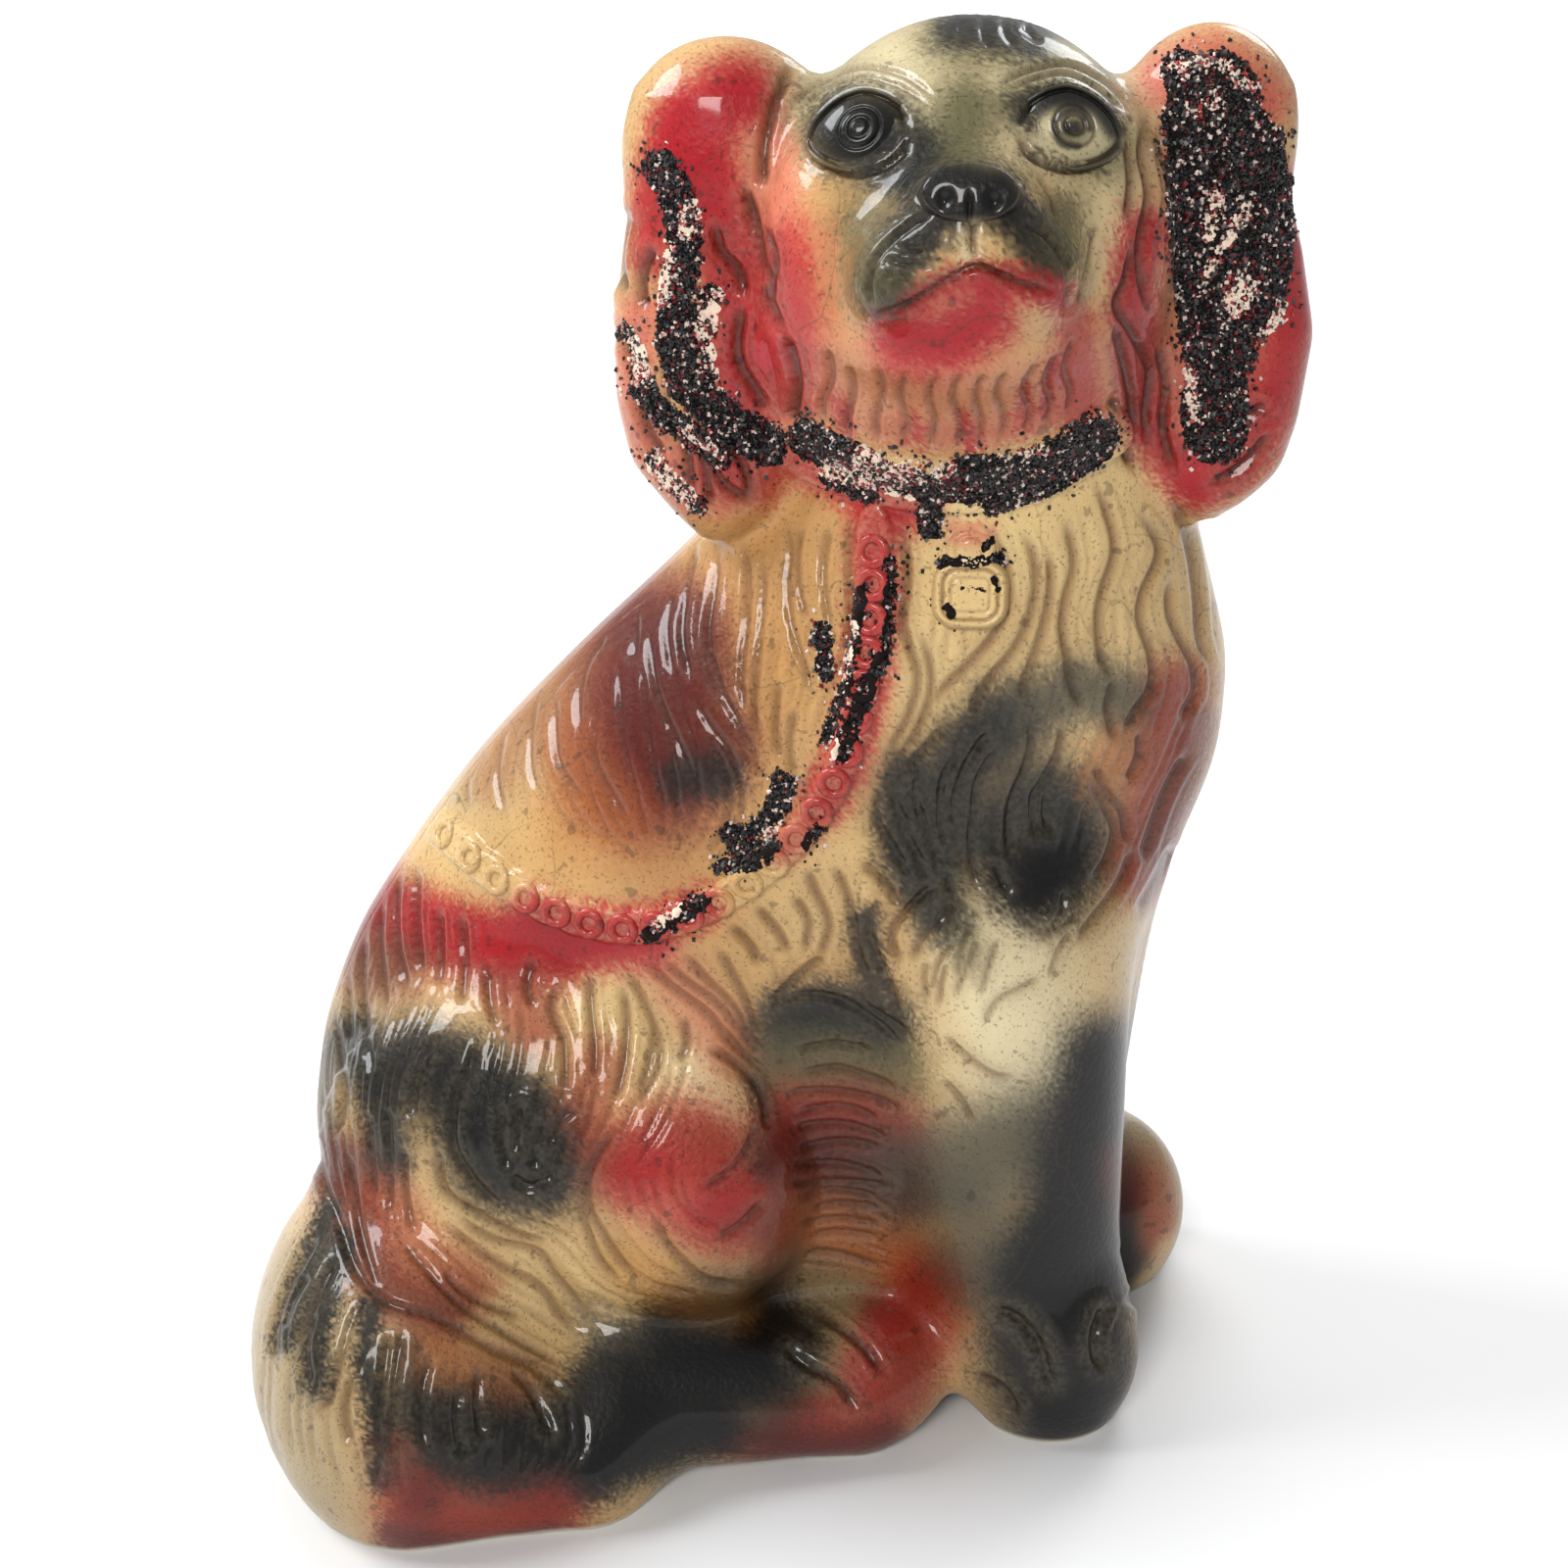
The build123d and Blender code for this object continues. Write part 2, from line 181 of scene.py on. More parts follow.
def castField(points):
    field = columnField(points, cast["trunkLevels"])
    for name, kind, *sizes, blend in cast["forms"]:
        form = eggField(points, *sizes) if kind == "egg" else limbField(points, *sizes)
        field = softJoin(field, form, blend)
    for levels in (cast["nearEarLevels"], cast["farEarLevels"]):
        field = softJoin(field, columnField(points, levels, cast["earCorner"]), cast["earBlend"])
    return field


def hollowField(points):
    body = columnField(points, cast["trunkLevels"], inset=cast["wall"])
    return softJoin(body, eggField(points, *cast["headHollow"]), cast["neckBlend"])


def slopeOf(field, points, step=0.3):
    slope = np.empty_like(points)
    for axis in range(3):
        shift = np.zeros(3)
        shift[axis] = step
        slope[:, axis] = field(points + shift) - field(points - shift)
    length = np.linalg.norm(slope, axis=1)
    return slope / np.maximum(length, 1e-9)[:, None], length / (2 * step)


# How points find a surface: limits on each move as they settle, then the way along the camera's sight lines
search = dict(longestMove=1.5, leastSteepness=0.35, start=300.0, end=620.0, steps=90, stride=0.7)


def settle(field, points, rounds=2):
    # pulls points onto the surface of a field
    for _ in range(rounds):
        direction, steepness = slopeOf(field, points)
        away = field(points) / np.maximum(steepness, search["leastSteepness"])
        away = np.clip(away, -search["longestMove"], search["longestMove"])
        points = points - direction * away[:, None]
    return points


def skinOf(field, low, high, voxel):
    # four-sided faces over a field's surface
    counts = np.ceil((np.array(high) - np.array(low)) / voxel).astype(int) + 1
    lines = [low[axis] + voxel * np.arange(counts[axis]) for axis in range(3)]
    spots = np.stack(np.meshgrid(*lines, indexing="ij"), axis=-1).reshape(-1, 3)
    values = np.clip(field(spots), -4 * voxel, 4 * voxel).reshape(counts)
    volume = openvdb.FloatGrid(4 * voxel)
    volume.copyFromArray(values.astype(np.float32))
    points, quads = volume.convertToQuads(isovalue=0.0)
    return points * voxel + np.array(low), quads


def onCast(pixels):
    # the places on the bare cast that the pixels show, and the directions the surface faces there
    pixels = np.array(pixels, float)
    sideways = (pixels[:, :1] - frameMiddle) / photoCamera["focalPixels"]
    downward = (pixels[:, 1:] - frameMiddle) / photoCamera["focalPixels"]
    rays = cameraForward + sideways * np.array([1.0, 0.0, 0.0]) - downward * cameraUp
    rays /= np.linalg.norm(rays, axis=1)[:, None]
    travelled = np.full(len(pixels), search["start"])
    for _ in range(search["steps"]):
        travelled += search["stride"] * castField(cameraEye + rays * travelled[:, None])
        travelled = np.minimum(travelled, search["end"])
    spots = cameraEye + rays * travelled[:, None]
    return spots, slopeOf(castField, spots)[0]


def meshOf(name, points, faces):
    mesh = bpy.data.meshes.new(name)
    mesh.from_pydata(np.asarray(points).tolist(), [], np.asarray(faces).tolist())
    mesh.update()
    return mesh


def readAll(items, key, width=1, kind=np.float32):
    # one property of every vertex, corner or face at once
    flat = np.empty(len(items) * width, kind)
    items.foreach_get(key, flat)
    return flat.reshape(-1, width) if width > 1 else flat


def pointsOf(mesh):
    return readAll(mesh.vertices, "co", 3).astype(float)


def setPoints(mesh, points):
    mesh.vertices.foreach_set("co", points.astype(np.float32).ravel())
    mesh.update()


def finerMesh(mesh):
    # splits every face in four
    piece = bpy.data.objects.new("finer", mesh)
    bpy.context.scene.collection.objects.link(piece)
    finer = piece.modifiers.new("finer", "SUBSURF")
    finer.subdivision_type = "SIMPLE"
    finer.levels = finer.render_levels = 1
    result = bpy.data.meshes.new_from_object(piece.evaluated_get(bpy.context.evaluated_depsgraph_get()))
    bpy.data.objects.remove(piece)
    return result


def cutMesh(mesh, place, normal):
    # cuts away what lies beyond a plane, and closes the cut
    work = bmesh.new()
    work.from_mesh(mesh)
    everything = work.verts[:] + work.edges[:] + work.faces[:]
    bmesh.ops.bisect_plane(work, geom=everything, plane_co=place, plane_no=normal, clear_outer=True, dist=0.01)
    rim = [edge for edge in work.edges if edge.is_boundary]
    closed = bmesh.ops.triangle_fill(work, edges=rim, use_beauty=True)
    for face in [part for part in closed["geom"] if isinstance(part, bmesh.types.BMFace)]:
        if face.normal.dot(normal) < 0:
            face.normal_flip()
        face.smooth = False
    result = bpy.data.meshes.new(mesh.name)
    work.to_mesh(result)
    openEdges = sum(1 for edge in work.edges if not edge.is_manifold)
    work.free()
    print("cut", normal, len(result.polygons), "open edges", openEdges)
    return result


def joinMeshes(name, *meshes):
    work = bmesh.new()
    for mesh in meshes:
        work.from_mesh(mesh)
    result = bpy.data.meshes.new(name)
    work.to_mesh(result)
    work.free()
    return result


# Canvases lie over the picture's frame, one cell to a pixel; strokes and sprays on them are given one by one
canvasSize = photoCamera["framePixels"]


def smoothPath(points, perSpan=6):
    points = np.array(points, float)
    ends = np.vstack([2 * points[0] - points[1], points, 2 * points[-1] - points[-2]])
    shares = np.arange(perSpan)[:, None] / perSpan
    spans = []
    for one, two, three, four in zip(ends, ends[1:], ends[2:], ends[3:]):
        bend = 2 * one - 5 * two + 4 * three - four
        twist = 3 * two - one - 3 * three + four
        spans.append(0.5 * (2 * two + (three - one) * shares + bend * shares ** 2 + twist * shares ** 3))
    return np.vstack([*spans, points[-1:]])


def evenPath(points, count):
    # the same curve with evenly spaced points
    path = smoothPath(points)
    run = np.concatenate([[0], np.cumsum(np.linalg.norm(np.diff(path, axis=0), axis=1))])
    places = np.linspace(0, run[-1], count)
    return np.stack([np.interp(places, run, path[:, axis]) for axis in (0, 1)], axis=1)


def pathWindows(path, reach):
    # for each stretch of a path: its window of the canvas, the distance to it and the share of the way
    run = np.concatenate([[0], np.cumsum(np.linalg.norm(np.diff(path, axis=0), axis=1))])
    for index in range(len(path) - 1):
        start, end = path[index], path[index + 1]
        low = np.clip(np.floor(np.minimum(start, end) - reach).astype(int), 0, canvasSize - 1)
        high = np.clip(np.ceil(np.maximum(start, end) + reach).astype(int) + 1, 1, canvasSize)
        if (high <= low).any():
            continue
        across, down = np.meshgrid(np.arange(low[0], high[0]), np.arange(low[1], high[1]))
        step = end - start
        along = (across - start[0]) * step[0] + (down - start[1]) * step[1]
        along = np.clip(along / max(step @ step, 1e-6), 0, 1)
        distance = np.hypot(across - start[0] - along * step[0], down - start[1] - along * step[1])
        way = (run[index] + along * (run[index + 1] - run[index])) / max(run[-1], 1e-6)
        yield (slice(low[1], high[1]), slice(low[0], high[0])), distance, way


def bareCanvas():
    return dict(grooves=np.zeros((canvasSize, canvasSize), np.float32),
                ridges=np.zeros((canvasSize, canvasSize), np.float32))


def carve(canvas, points, width, depth, sharpness=1.6, taper=0.18):
    # a groove that thins out at both ends, with raised shoulders
    path = smoothPath(points)
    for window, distance, way in pathWindows(path, 3.2 * width):
        fade = depth * smoothStep(0, taper, way) * smoothStep(0, taper, 1 - way)
        stroke = fade * np.exp(-(distance / width) ** sharpness)
        shoulder = 0.5 * fade * np.exp(-((distance - 2.0 * width) / (1.0 * width)) ** 2)
        canvas["grooves"][window] = np.maximum(canvas["grooves"][window], stroke)
        canvas["ridges"][window] = np.maximum(canvas["ridges"][window], shoulder)


def sideStep(points, offset):
    # a copy of a path moved sideways
    path = np.array(points, float)
    heading = np.gradient(path, axis=0)
    heading /= np.maximum(np.linalg.norm(heading, axis=1), 1e-6)[:, None]
    return path + offset * np.stack([-heading[:, 1], heading[:, 0]], axis=1)


def lockFamily(first, last, count, unevenness, random):
    # strokes that pass gradually from one guide to another
    one, other = evenPath(first, 9), evenPath(last, 9)
    for index in range(count):
        share = (index + random.uniform(-0.25, 0.25)) / max(count - 1, 1)
        drift = np.cumsum(random.normal(0, unevenness, (9, 2)), axis=0)
        start, end = random.integers(0, 2), 9 - random.integers(0, 2)
        yield (one * (1 - share) + other * share + drift)[start:end]


# The coat's locks: grooves traced over the picture, region by region. Widths are in pixels, depths in millimetres
coat = dict(
    seed=11,
    companions=((-1, 0.30), (1, 0.24)),
    companionSpacing=2.1,
    regions=dict(
        chestCentre=dict(width=5.9, depth=1.5, strokes=[
            [(978, 721), (948, 760), (921, 787), (914, 818), (925, 852), (940, 883), (944, 915)],
            [(1015, 741), (988, 779), (973, 825), (969, 850)],
            [(1027, 752), (1000, 795), (994, 829), (992, 875), (1000, 918)],
            [(988, 756), (965, 791), (960, 825), (962, 872)],
            [(946, 768), (935, 806), (938, 829), (954, 868), (958, 895)],
            [(1042, 721), (1054, 752), (1046, 787), (1033, 818), (1029, 852), (1034, 885)],
            [(1088, 729), (1081, 768), (1065, 798), (1054, 821), (1060, 860)],
            [(1085, 762), (1073, 798), (1067, 829), (1074, 856)],
            [(1015, 879), (1027, 910)],
            [(966, 887), (970, 918), (960, 950)],
            [(959, 898), (925, 929), (909, 956), (921, 990)],
            [(971, 905), (960, 935), (940, 958), (930, 985)],
            [(902, 914), (886, 945), (894, 975), (904, 1000)],
            [(848, 879), (863, 910), (871, 945), (875, 975), (888, 1004)],
            [(878, 879), (905, 906), (921, 928)],
            [(821, 883), (832, 910), (846, 945), (834, 985)],
            [(809, 914), (825, 941), (821, 975)],
            [(771, 925), (794, 952), (806, 975)],
            [(745, 945), (765, 965), (775, 985)],
            [(782, 1031), (813, 998), (846, 973)],
            [(936, 633), (948, 675), (950, 706), (936, 745), (917, 775), (907, 800), (921, 835), (945, 868)],
            [(921, 521), (926, 587), (921, 633), (928, 662), (937, 691), (928, 729), (909, 768), (903, 806)],
            [(900, 800), (895, 835), (912, 868), (930, 895)],
            [(905, 1000), (915, 1030)],
        ]),
        chestTufts=dict(width=4.2, depth=1.2, strokes=[
            [(996, 937), (981, 968), (977, 1004)], [(977, 960), (958, 983), (950, 1016)],
            [(1019, 956), (1008, 991), (1000, 1020)], [(1000, 956), (985, 991), (973, 1020)],
            [(946, 980), (943, 1000), (947, 1025)], [(966, 980), (960, 1006), (957, 1030)],
            [(1002, 1047), (1018, 1022), (1038, 1011), (1066, 996)],
            [(1035, 930), (1062, 950), (1085, 945), (1110, 925)],
            [(960, 1055), (982, 1075), (999, 1088), (1018, 1098), (1040, 1099)],
            [(960, 1101), (979, 1121), (993, 1146)], [(1088, 905), (1082, 935), (1060, 965)],
            [(1096, 948), (1081, 971), (1072, 1000)], [(930, 1058), (905, 1040), (880, 1025)],
        ]),
        chestRight=dict(width=6.4, depth=1.5, strokes=[
            [(1004, 527), (1016, 552), (1028, 587), (1027, 622), (1012, 652), (990, 677), (966, 700), (940, 735)],
            [(1038, 533), (1054, 564), (1058, 598), (1050, 633), (1035, 664), (1012, 691), (996, 714), (992, 752)],
            [(1069, 552), (1073, 595), (1065, 641), (1054, 675), (1042, 706), (1040, 724)],
            [(1085, 520), (1097, 572), (1088, 614), (1085, 645), (1092, 675), (1106, 712)],
            [(1115, 483), (1131, 522), (1139, 562), (1127, 602), (1122, 633), (1127, 675), (1147, 708)],
            [(1154, 512), (1179, 545), (1184, 568), (1168, 606), (1165, 633), (1176, 668), (1177, 700), (1160, 727),
             (1150, 745), (1151, 772)],
            [(1196, 579), (1195, 622), (1205, 650), (1219, 677), (1221, 706), (1208, 731), (1204, 750)],
            [(1115, 777), (1131, 812), (1146, 829), (1151, 866)],
            [(1108, 790), (1126, 821), (1139, 847), (1130, 880), (1110, 905)],
            [(1215, 764), (1192, 806), (1177, 845), (1164, 885)],
            [(1090, 660), (1092, 691), (1104, 722)],
            [(1190, 500), (1212, 545), (1222, 600), (1226, 650), (1238, 690)],
            [(1165, 745), (1163, 775), (1150, 800)],
            [(1200, 860), (1180, 900), (1160, 935)],
            [(1160, 860), (1145, 900), (1120, 935), (1095, 965)],
            [(1140, 690), (1132, 725), (1140, 760)],
        ]),
        neckLeft=dict(width=5.6, depth=1.1, strokes=[
            [(757, 545), (762, 590), (761, 640), (756, 690), (762, 740)],
            [(800, 522), (806, 560), (803, 600), (808, 640), (822, 682), (832, 722)],
            [(779, 560), (777, 620), (772, 680), (770, 730), (778, 775)],
            [(818, 530), (812, 568), (816, 608), (826, 640)],
            [(848, 530), (840, 570), (842, 612), (850, 650)],
            [(868, 520), (865, 570), (868, 630), (860, 680)],
            [(735, 545), (728, 600), (722, 650), (735, 700), (760, 750), (775, 790)],
            [(712, 548), (700, 600), (695, 650), (706, 700)],
            [(795, 690), (792, 740), (798, 780)],
            [(812, 720), (806, 760), (812, 795)],
            [(900, 540), (905, 590), (900, 640), (905, 680)],
        ]),
        shoulder=dict(width=5.2, depth=0.8, strokes=[
            [(701, 700), (722, 736), (743, 764), (754, 793), (758, 824), (746, 857), (722, 888)],
            [(721, 745), (740, 784), (746, 806), (742, 838), (720, 880)],
            [(663, 636), (664, 668), (669, 700), (682, 735), (700, 775), (712, 810)],
            [(605, 748), (608, 777), (624, 808), (642, 840)],
            [(567, 703), (566, 739), (569, 773), (582, 798), (600, 820)],
            [(557, 684), (545, 719), (541, 750), (542, 786), (552, 815)],
            [(538, 691), (519, 726), (509, 766), (508, 800), (518, 842)],
            [(493, 745), (483, 771), (475, 800), (478, 830)],
            [(650, 622), (648, 650), (645, 676)],
            [(728, 600), (722, 650), (722, 690), (745, 724), (768, 760), (774, 800)],
            [(520, 700), (500, 740), (490, 780)],
            [(624, 640), (600, 672), (590, 710), (592, 750)],
            [(690, 600), (680, 640), (686, 690)],
        ]),
        flankLeft=dict(width=5.4, depth=1.25, strokes=[
            [(390, 895), (386, 957), (390, 1000), (393, 1040)],
            [(408, 872), (403, 920), (404, 960), (410, 990), (419, 1018)],
            [(447, 925), (449, 980), (446, 1010)], [(350, 967), (354, 1013), (356, 1070)],
            [(340, 1030), (347, 1080), (351, 1110), (348, 1140), (339, 1168)],
            [(323, 1075), (325, 1113), (328, 1135)], [(393, 1120), (397, 1163), (398, 1213), (399, 1250)],
            [(320, 1150), (330, 1207), (343, 1240), (356, 1282)],
            [(353, 1165), (360, 1213), (367, 1253), (378, 1293), (390, 1328)],
            [(372, 940), (368, 1000), (374, 1060), (380, 1110)],
            [(375, 1130), (378, 1180), (384, 1230)], [(425, 880), (424, 940), (430, 1000)],
            [(470, 930), (474, 980), (470, 1030)], [(338, 985), (332, 1030), (334, 1070)],
            [(412, 1170), (414, 1220), (424, 1262)], [(362, 930), (352, 965), (344, 1000)],
        ]),
        haunch=dict(width=5.8, depth=1.35, strokes=[
            [(450, 1057), (433, 1080), (423, 1110), (420, 1150)],
            [(487, 1048), (480, 1087), (467, 1113), (462, 1140), (463, 1170), (477, 1197), (500, 1223), (524, 1234)],
            [(513, 1125), (513, 1163), (521, 1196)], [(532, 1120), (528, 1150), (526, 1180)],
            [(553, 1140), (546, 1170), (548, 1195)], [(582, 1150), (567, 1180), (557, 1212)],
            [(447, 1163), (453, 1213), (487, 1240), (533, 1263), (570, 1268)],
            [(520, 1200), (540, 1212), (558, 1204)], [(497, 985), (499, 1020), (507, 1050)],
            [(573, 1000), (563, 1027), (570, 1047), (577, 1067), (577, 1118)],
            [(602, 990), (604, 1030), (608, 1070), (606, 1110)],
            [(633, 1000), (640, 1033), (640, 1067), (633, 1107), (622, 1130)],
            [(633, 985), (650, 1010), (661, 1030), (673, 1060), (673, 1087), (660, 1113), (645, 1137)],
            [(697, 1038), (702, 1062), (694, 1085)], [(667, 1030), (668, 1060), (662, 1090), (650, 1118)],
            [(653, 975), (680, 1003), (720, 1033), (743, 1060), (763, 1080), (792, 1104)],
            [(670, 975), (697, 1000), (730, 1023), (757, 1053), (782, 1090)],
            [(693, 968), (720, 1000), (747, 1027), (767, 1060), (784, 1084)],
            [(730, 965), (750, 1000), (763, 1030), (775, 1070)],
            [(717, 1067), (743, 1080), (767, 1100), (781, 1125), (783, 1160)],
            [(775, 1143), (763, 1173), (743, 1197), (714, 1215)],
            [(781, 1225), (757, 1250), (730, 1265)],
            [(636, 1145), (604, 1190), (600, 1230), (617, 1263), (637, 1293), (662, 1316)],
            [(590, 1220), (608, 1280), (634, 1313)],
            [(665, 1235), (683, 1273), (719, 1306), (760, 1312)],
            [(447, 1243), (480, 1270), (513, 1293), (550, 1313), (577, 1347), (600, 1362)],
            [(460, 1237), (500, 1265), (547, 1277), (567, 1303), (590, 1330), (602, 1350)],
            [(450, 1290), (467, 1313), (500, 1333), (540, 1345)],
            [(402, 1260), (440, 1300), (473, 1333), (515, 1360), (560, 1385), (592, 1402)],
            [(545, 980), (538, 1005), (545, 1030)], [(590, 1130), (570, 1145), (560, 1170)],
        ]),
        tail=dict(width=6.6, depth=1.3, strokes=[
            [(328, 1250), (305, 1288), (287, 1331), (279, 1367), (284, 1400)],
            [(344, 1280), (328, 1312), (312, 1345), (300, 1385)],
            [(373, 1318), (358, 1352), (347, 1388), (337, 1424), (321, 1452)],
            [(398, 1355), (391, 1410), (385, 1453), (382, 1490)],
            [(412, 1350), (402, 1410), (398, 1460), (386, 1492), (381, 1525)],
            [(315, 1295), (296, 1327), (284, 1360)], [(322, 1330), (310, 1375), (316, 1420)],
            [(491, 1393), (488, 1431), (492, 1470)], [(520, 1395), (541, 1417), (556, 1446), (563, 1470)],
            [(450, 1345), (506, 1379), (538, 1391), (563, 1410), (583, 1433)],
            [(330, 1200), (345, 1240), (361, 1290), (392, 1328), (445, 1345), (500, 1374), (560, 1395), (595, 1420)],
            [(470, 1410), (466, 1450), (474, 1490)], [(360, 1400), (352, 1440), (360, 1480)],
            [(440, 1380), (430, 1430), (434, 1480)],
        ]),
        legRidges=dict(width=5.0, depth=1.15, strokes=[
            [(780, 1034), (800, 1020), (822, 1015), (858, 1021), (897, 1045), (925, 1070)],
            [(809, 1074), (850, 1066), (892, 1073)], [(812, 1098), (852, 1090), (891, 1101), (919, 1113)],
            [(796, 1117), (842, 1113), (891, 1121), (925, 1136)], [(809, 1136), (858, 1129), (899, 1143)],
            [(806, 1151), (858, 1147), (909, 1162)], [(809, 1173), (858, 1165), (902, 1171)],
            [(802, 1189), (858, 1188), (906, 1203)], [(799, 1208), (858, 1206), (912, 1211)],
            [(812, 1222), (852, 1214), (899, 1222)], [(825, 1235), (858, 1229), (899, 1232)],
            [(812, 1249), (858, 1244), (899, 1251)], [(825, 1262), (858, 1257), (899, 1263)],
            [(819, 1277), (858, 1280), (902, 1295)],
        ]),
        toes=dict(width=7.0, depth=1.9, strokes=[
            [(822, 1331), (858, 1354), (884, 1376), (902, 1404)], [(799, 1371), (825, 1393), (858, 1413), (876, 1442)],
            [(1010, 1334), (1037, 1346), (1056, 1366), (1066, 1391), (1072, 1422)],
            [(993, 1403), (1022, 1419), (1040, 1446)], [(1152, 1262), (1166, 1291), (1162, 1318), (1148, 1332)],
            [(1185, 1266), (1193, 1294), (1182, 1322)], [(1170, 1250), (1180, 1285), (1174, 1318)],
            [(1130, 1330), (1118, 1366), (1122, 1400)],
        ]),
        chinHair=dict(width=5.2, depth=1.2, strokes=[
            [(866, 370), (870, 400), (864, 428), (866, 450)], [(894, 372), (900, 400), (893, 430), (897, 455)],
            [(926, 378), (918, 404), (924, 430), (920, 458)], [(958, 380), (948, 404), (954, 432), (948, 460)],
            [(984, 378), (972, 404), (980, 432), (976, 460)], [(1008, 378), (996, 404), (1002, 432), (1000, 458)],
            [(1030, 376), (1018, 402), (1026, 430), (1020, 454)], [(1064, 366), (1046, 396), (1052, 424), (1044, 446)],
            [(1084, 356), (1068, 388), (1074, 414), (1066, 440)], [(1100, 342), (1088, 376), (1094, 402), (1088, 428)],
            [(842, 352), (848, 384), (838, 412), (842, 436)],
        ]),
        crownTuft=dict(width=4.2, depth=0.55, strokes=[
            [(958, 24), (962, 40), (976, 52)], [(982, 18), (980, 36), (991, 54)], [(1004, 14), (1003, 34), (1014, 52)],
            [(1023, 16), (1026, 34), (1038, 48)], [(1046, 24), (1050, 34), (1062, 42)],
            [(940, 34), (946, 46), (958, 56)],
        ]),
        face=dict(width=3.6, depth=1.1, strokes=[
            [(802, 121), (820, 96), (850, 77), (882, 68), (915, 74), (940, 88), (961, 109)],
            [(812, 119), (835, 93), (860, 82), (884, 78), (912, 85), (935, 98), (952, 114)],
            [(1013, 95), (1040, 75), (1086, 65), (1120, 78), (1145, 98), (1160, 123)],
            [(1022, 99), (1048, 82), (1085, 74), (1115, 85), (1138, 103), (1152, 122)],
            [(900, 262), (930, 270), (960, 262)], [(905, 248), (935, 256), (962, 250)],
            [(1119, 226), (1114, 258), (1106, 290), (1099, 316)],
            [(1060, 178), (1074, 198), (1078, 222)],
        ]),
        pads=dict(width=4.6, depth=1.5, strokes=[
            [(892, 318), (885, 290), (894, 262), (920, 236), (957, 214)],
            [(1084, 318), (1092, 296), (1089, 268), (1068, 240), (1038, 222)],
        ]),
        whiskers=dict(width=2.0, depth=0.7, strokes=[
            [(900, 270), (908, 264)], [(903, 284), (911, 280)], [(906, 258), (914, 251)], [(914, 272), (922, 268)],
            [(917, 288), (926, 285)], [(921, 260), (929, 256)], [(930, 276), (939, 274)], [(898, 298), (906, 295)],
            [(1058, 252), (1066, 258)], [(1064, 266), (1072, 271)], [(1050, 262), (1058, 266)],
            [(1066, 282), (1074, 285)], [(930, 292), (940, 289)],
        ]),
        eyelids=dict(width=4.6, depth=1.7, strokes=[
            [(818, 150), (838, 119), (860, 101), (882, 95), (905, 103), (922, 121), (932, 139)],
            [(820, 147), (840, 166), (869, 178), (900, 171), (920, 156), (931, 136)],
            [(1034, 136), (1055, 106), (1086, 92), (1115, 102), (1135, 124), (1145, 151)],
            [(1037, 132), (1052, 159), (1086, 173), (1115, 169), (1144, 149)],
        ]),
        mouth=dict(width=5.0, depth=1.9, strokes=[
            [(888, 323), (915, 316), (940, 303), (967, 285), (997, 272), (1022, 281), (1050, 292), (1090, 300)],
            [(994, 220), (992, 240), (994, 264)], [(941, 207), (950, 184), (968, 174), (989, 170)],
            [(1032, 206), (1026, 186), (1010, 174), (989, 170)],
        ]),
        nearEar=dict(width=6.8, depth=1.8, strokes=[
            [(757, 180), (767, 218), (776, 266), (785, 294), (774, 330)],
            [(776, 223), (788, 266), (783, 304), (800, 345)], [(729, 226), (736, 256), (752, 275), (760, 306)],
            [(757, 306), (752, 361), (767, 394), (788, 424)], [(705, 444), (719, 474), (725, 520)],
            [(743, 439), (762, 482), (767, 514)], [(681, 425), (700, 455), (706, 506)],
            [(640, 210), (630, 262), (638, 306)], [(631, 330), (643, 368), (660, 384)],
            [(810, 62), (792, 105), (780, 150), (776, 200)], [(800, 340), (812, 390), (806, 440)],
            [(668, 250), (655, 285), (658, 320)], [(720, 470), (745, 500), (775, 510)],
            [(648, 400), (660, 440), (680, 470)],
        ]),
        farEar=dict(width=6.4, depth=1.8, strokes=[
            [(1163, 226), (1151, 285), (1141, 313), (1160, 346), (1175, 380), (1170, 427), (1176, 478)],
            [(1137, 325), (1146, 360), (1155, 403), (1161, 450)],
            [(1170, 112), (1167, 157), (1174, 199), (1165, 247), (1167, 289), (1179, 330)],
            [(1293, 412), (1274, 427), (1263, 450)], [(1300, 440), (1270, 474), (1232, 498)],
            [(1180, 340), (1190, 390), (1186, 440), (1200, 490)], [(1148, 120), (1156, 180), (1150, 230)],
            [(1136, 400), (1140, 440), (1160, 482)],
        ]),
    ),
    # finer strands that fill the coat between the traced grooves: guides, count, width and depth
    strands=dict(
        backEdge=([(676, 575), (600, 640), (520, 715), (462, 785), (430, 840)],
                  [(700, 610), (610, 668), (560, 720), (545, 790), (575, 850)], 8, 3.0, 0.4),
        shoulderSwirl=([(560, 700), (545, 770), (575, 840), (640, 870)],
                       [(720, 640), (752, 740), (750, 830), (690, 890)], 10, 3.2, 0.45),
        flankFall=([(352, 930), (326, 1030), (322, 1130), (345, 1260)],
                   [(480, 960), (440, 1040), (408, 1130), (420, 1280)], 14, 3.2, 0.6),
        haunchFall=([(500, 980), (505, 1050), (490, 1120), (500, 1190)],
                    [(650, 985), (700, 1060), (680, 1140), (640, 1200)], 12, 3.4, 0.55),
        haunchSweep=([(400, 1235), (470, 1300), (540, 1340), (600, 1375)],
                     [(520, 1240), (580, 1265), (620, 1310), (680, 1330)], 9, 3.2, 0.55),
        kneeCurl=([(610, 1170), (612, 1240), (660, 1300), (720, 1318)],
                  [(700, 1170), (700, 1220), (735, 1245), (775, 1235)], 7, 3.2, 0.45),
        chestFall=([(950, 560), (952, 640), (935, 720), (905, 790), (915, 850)],
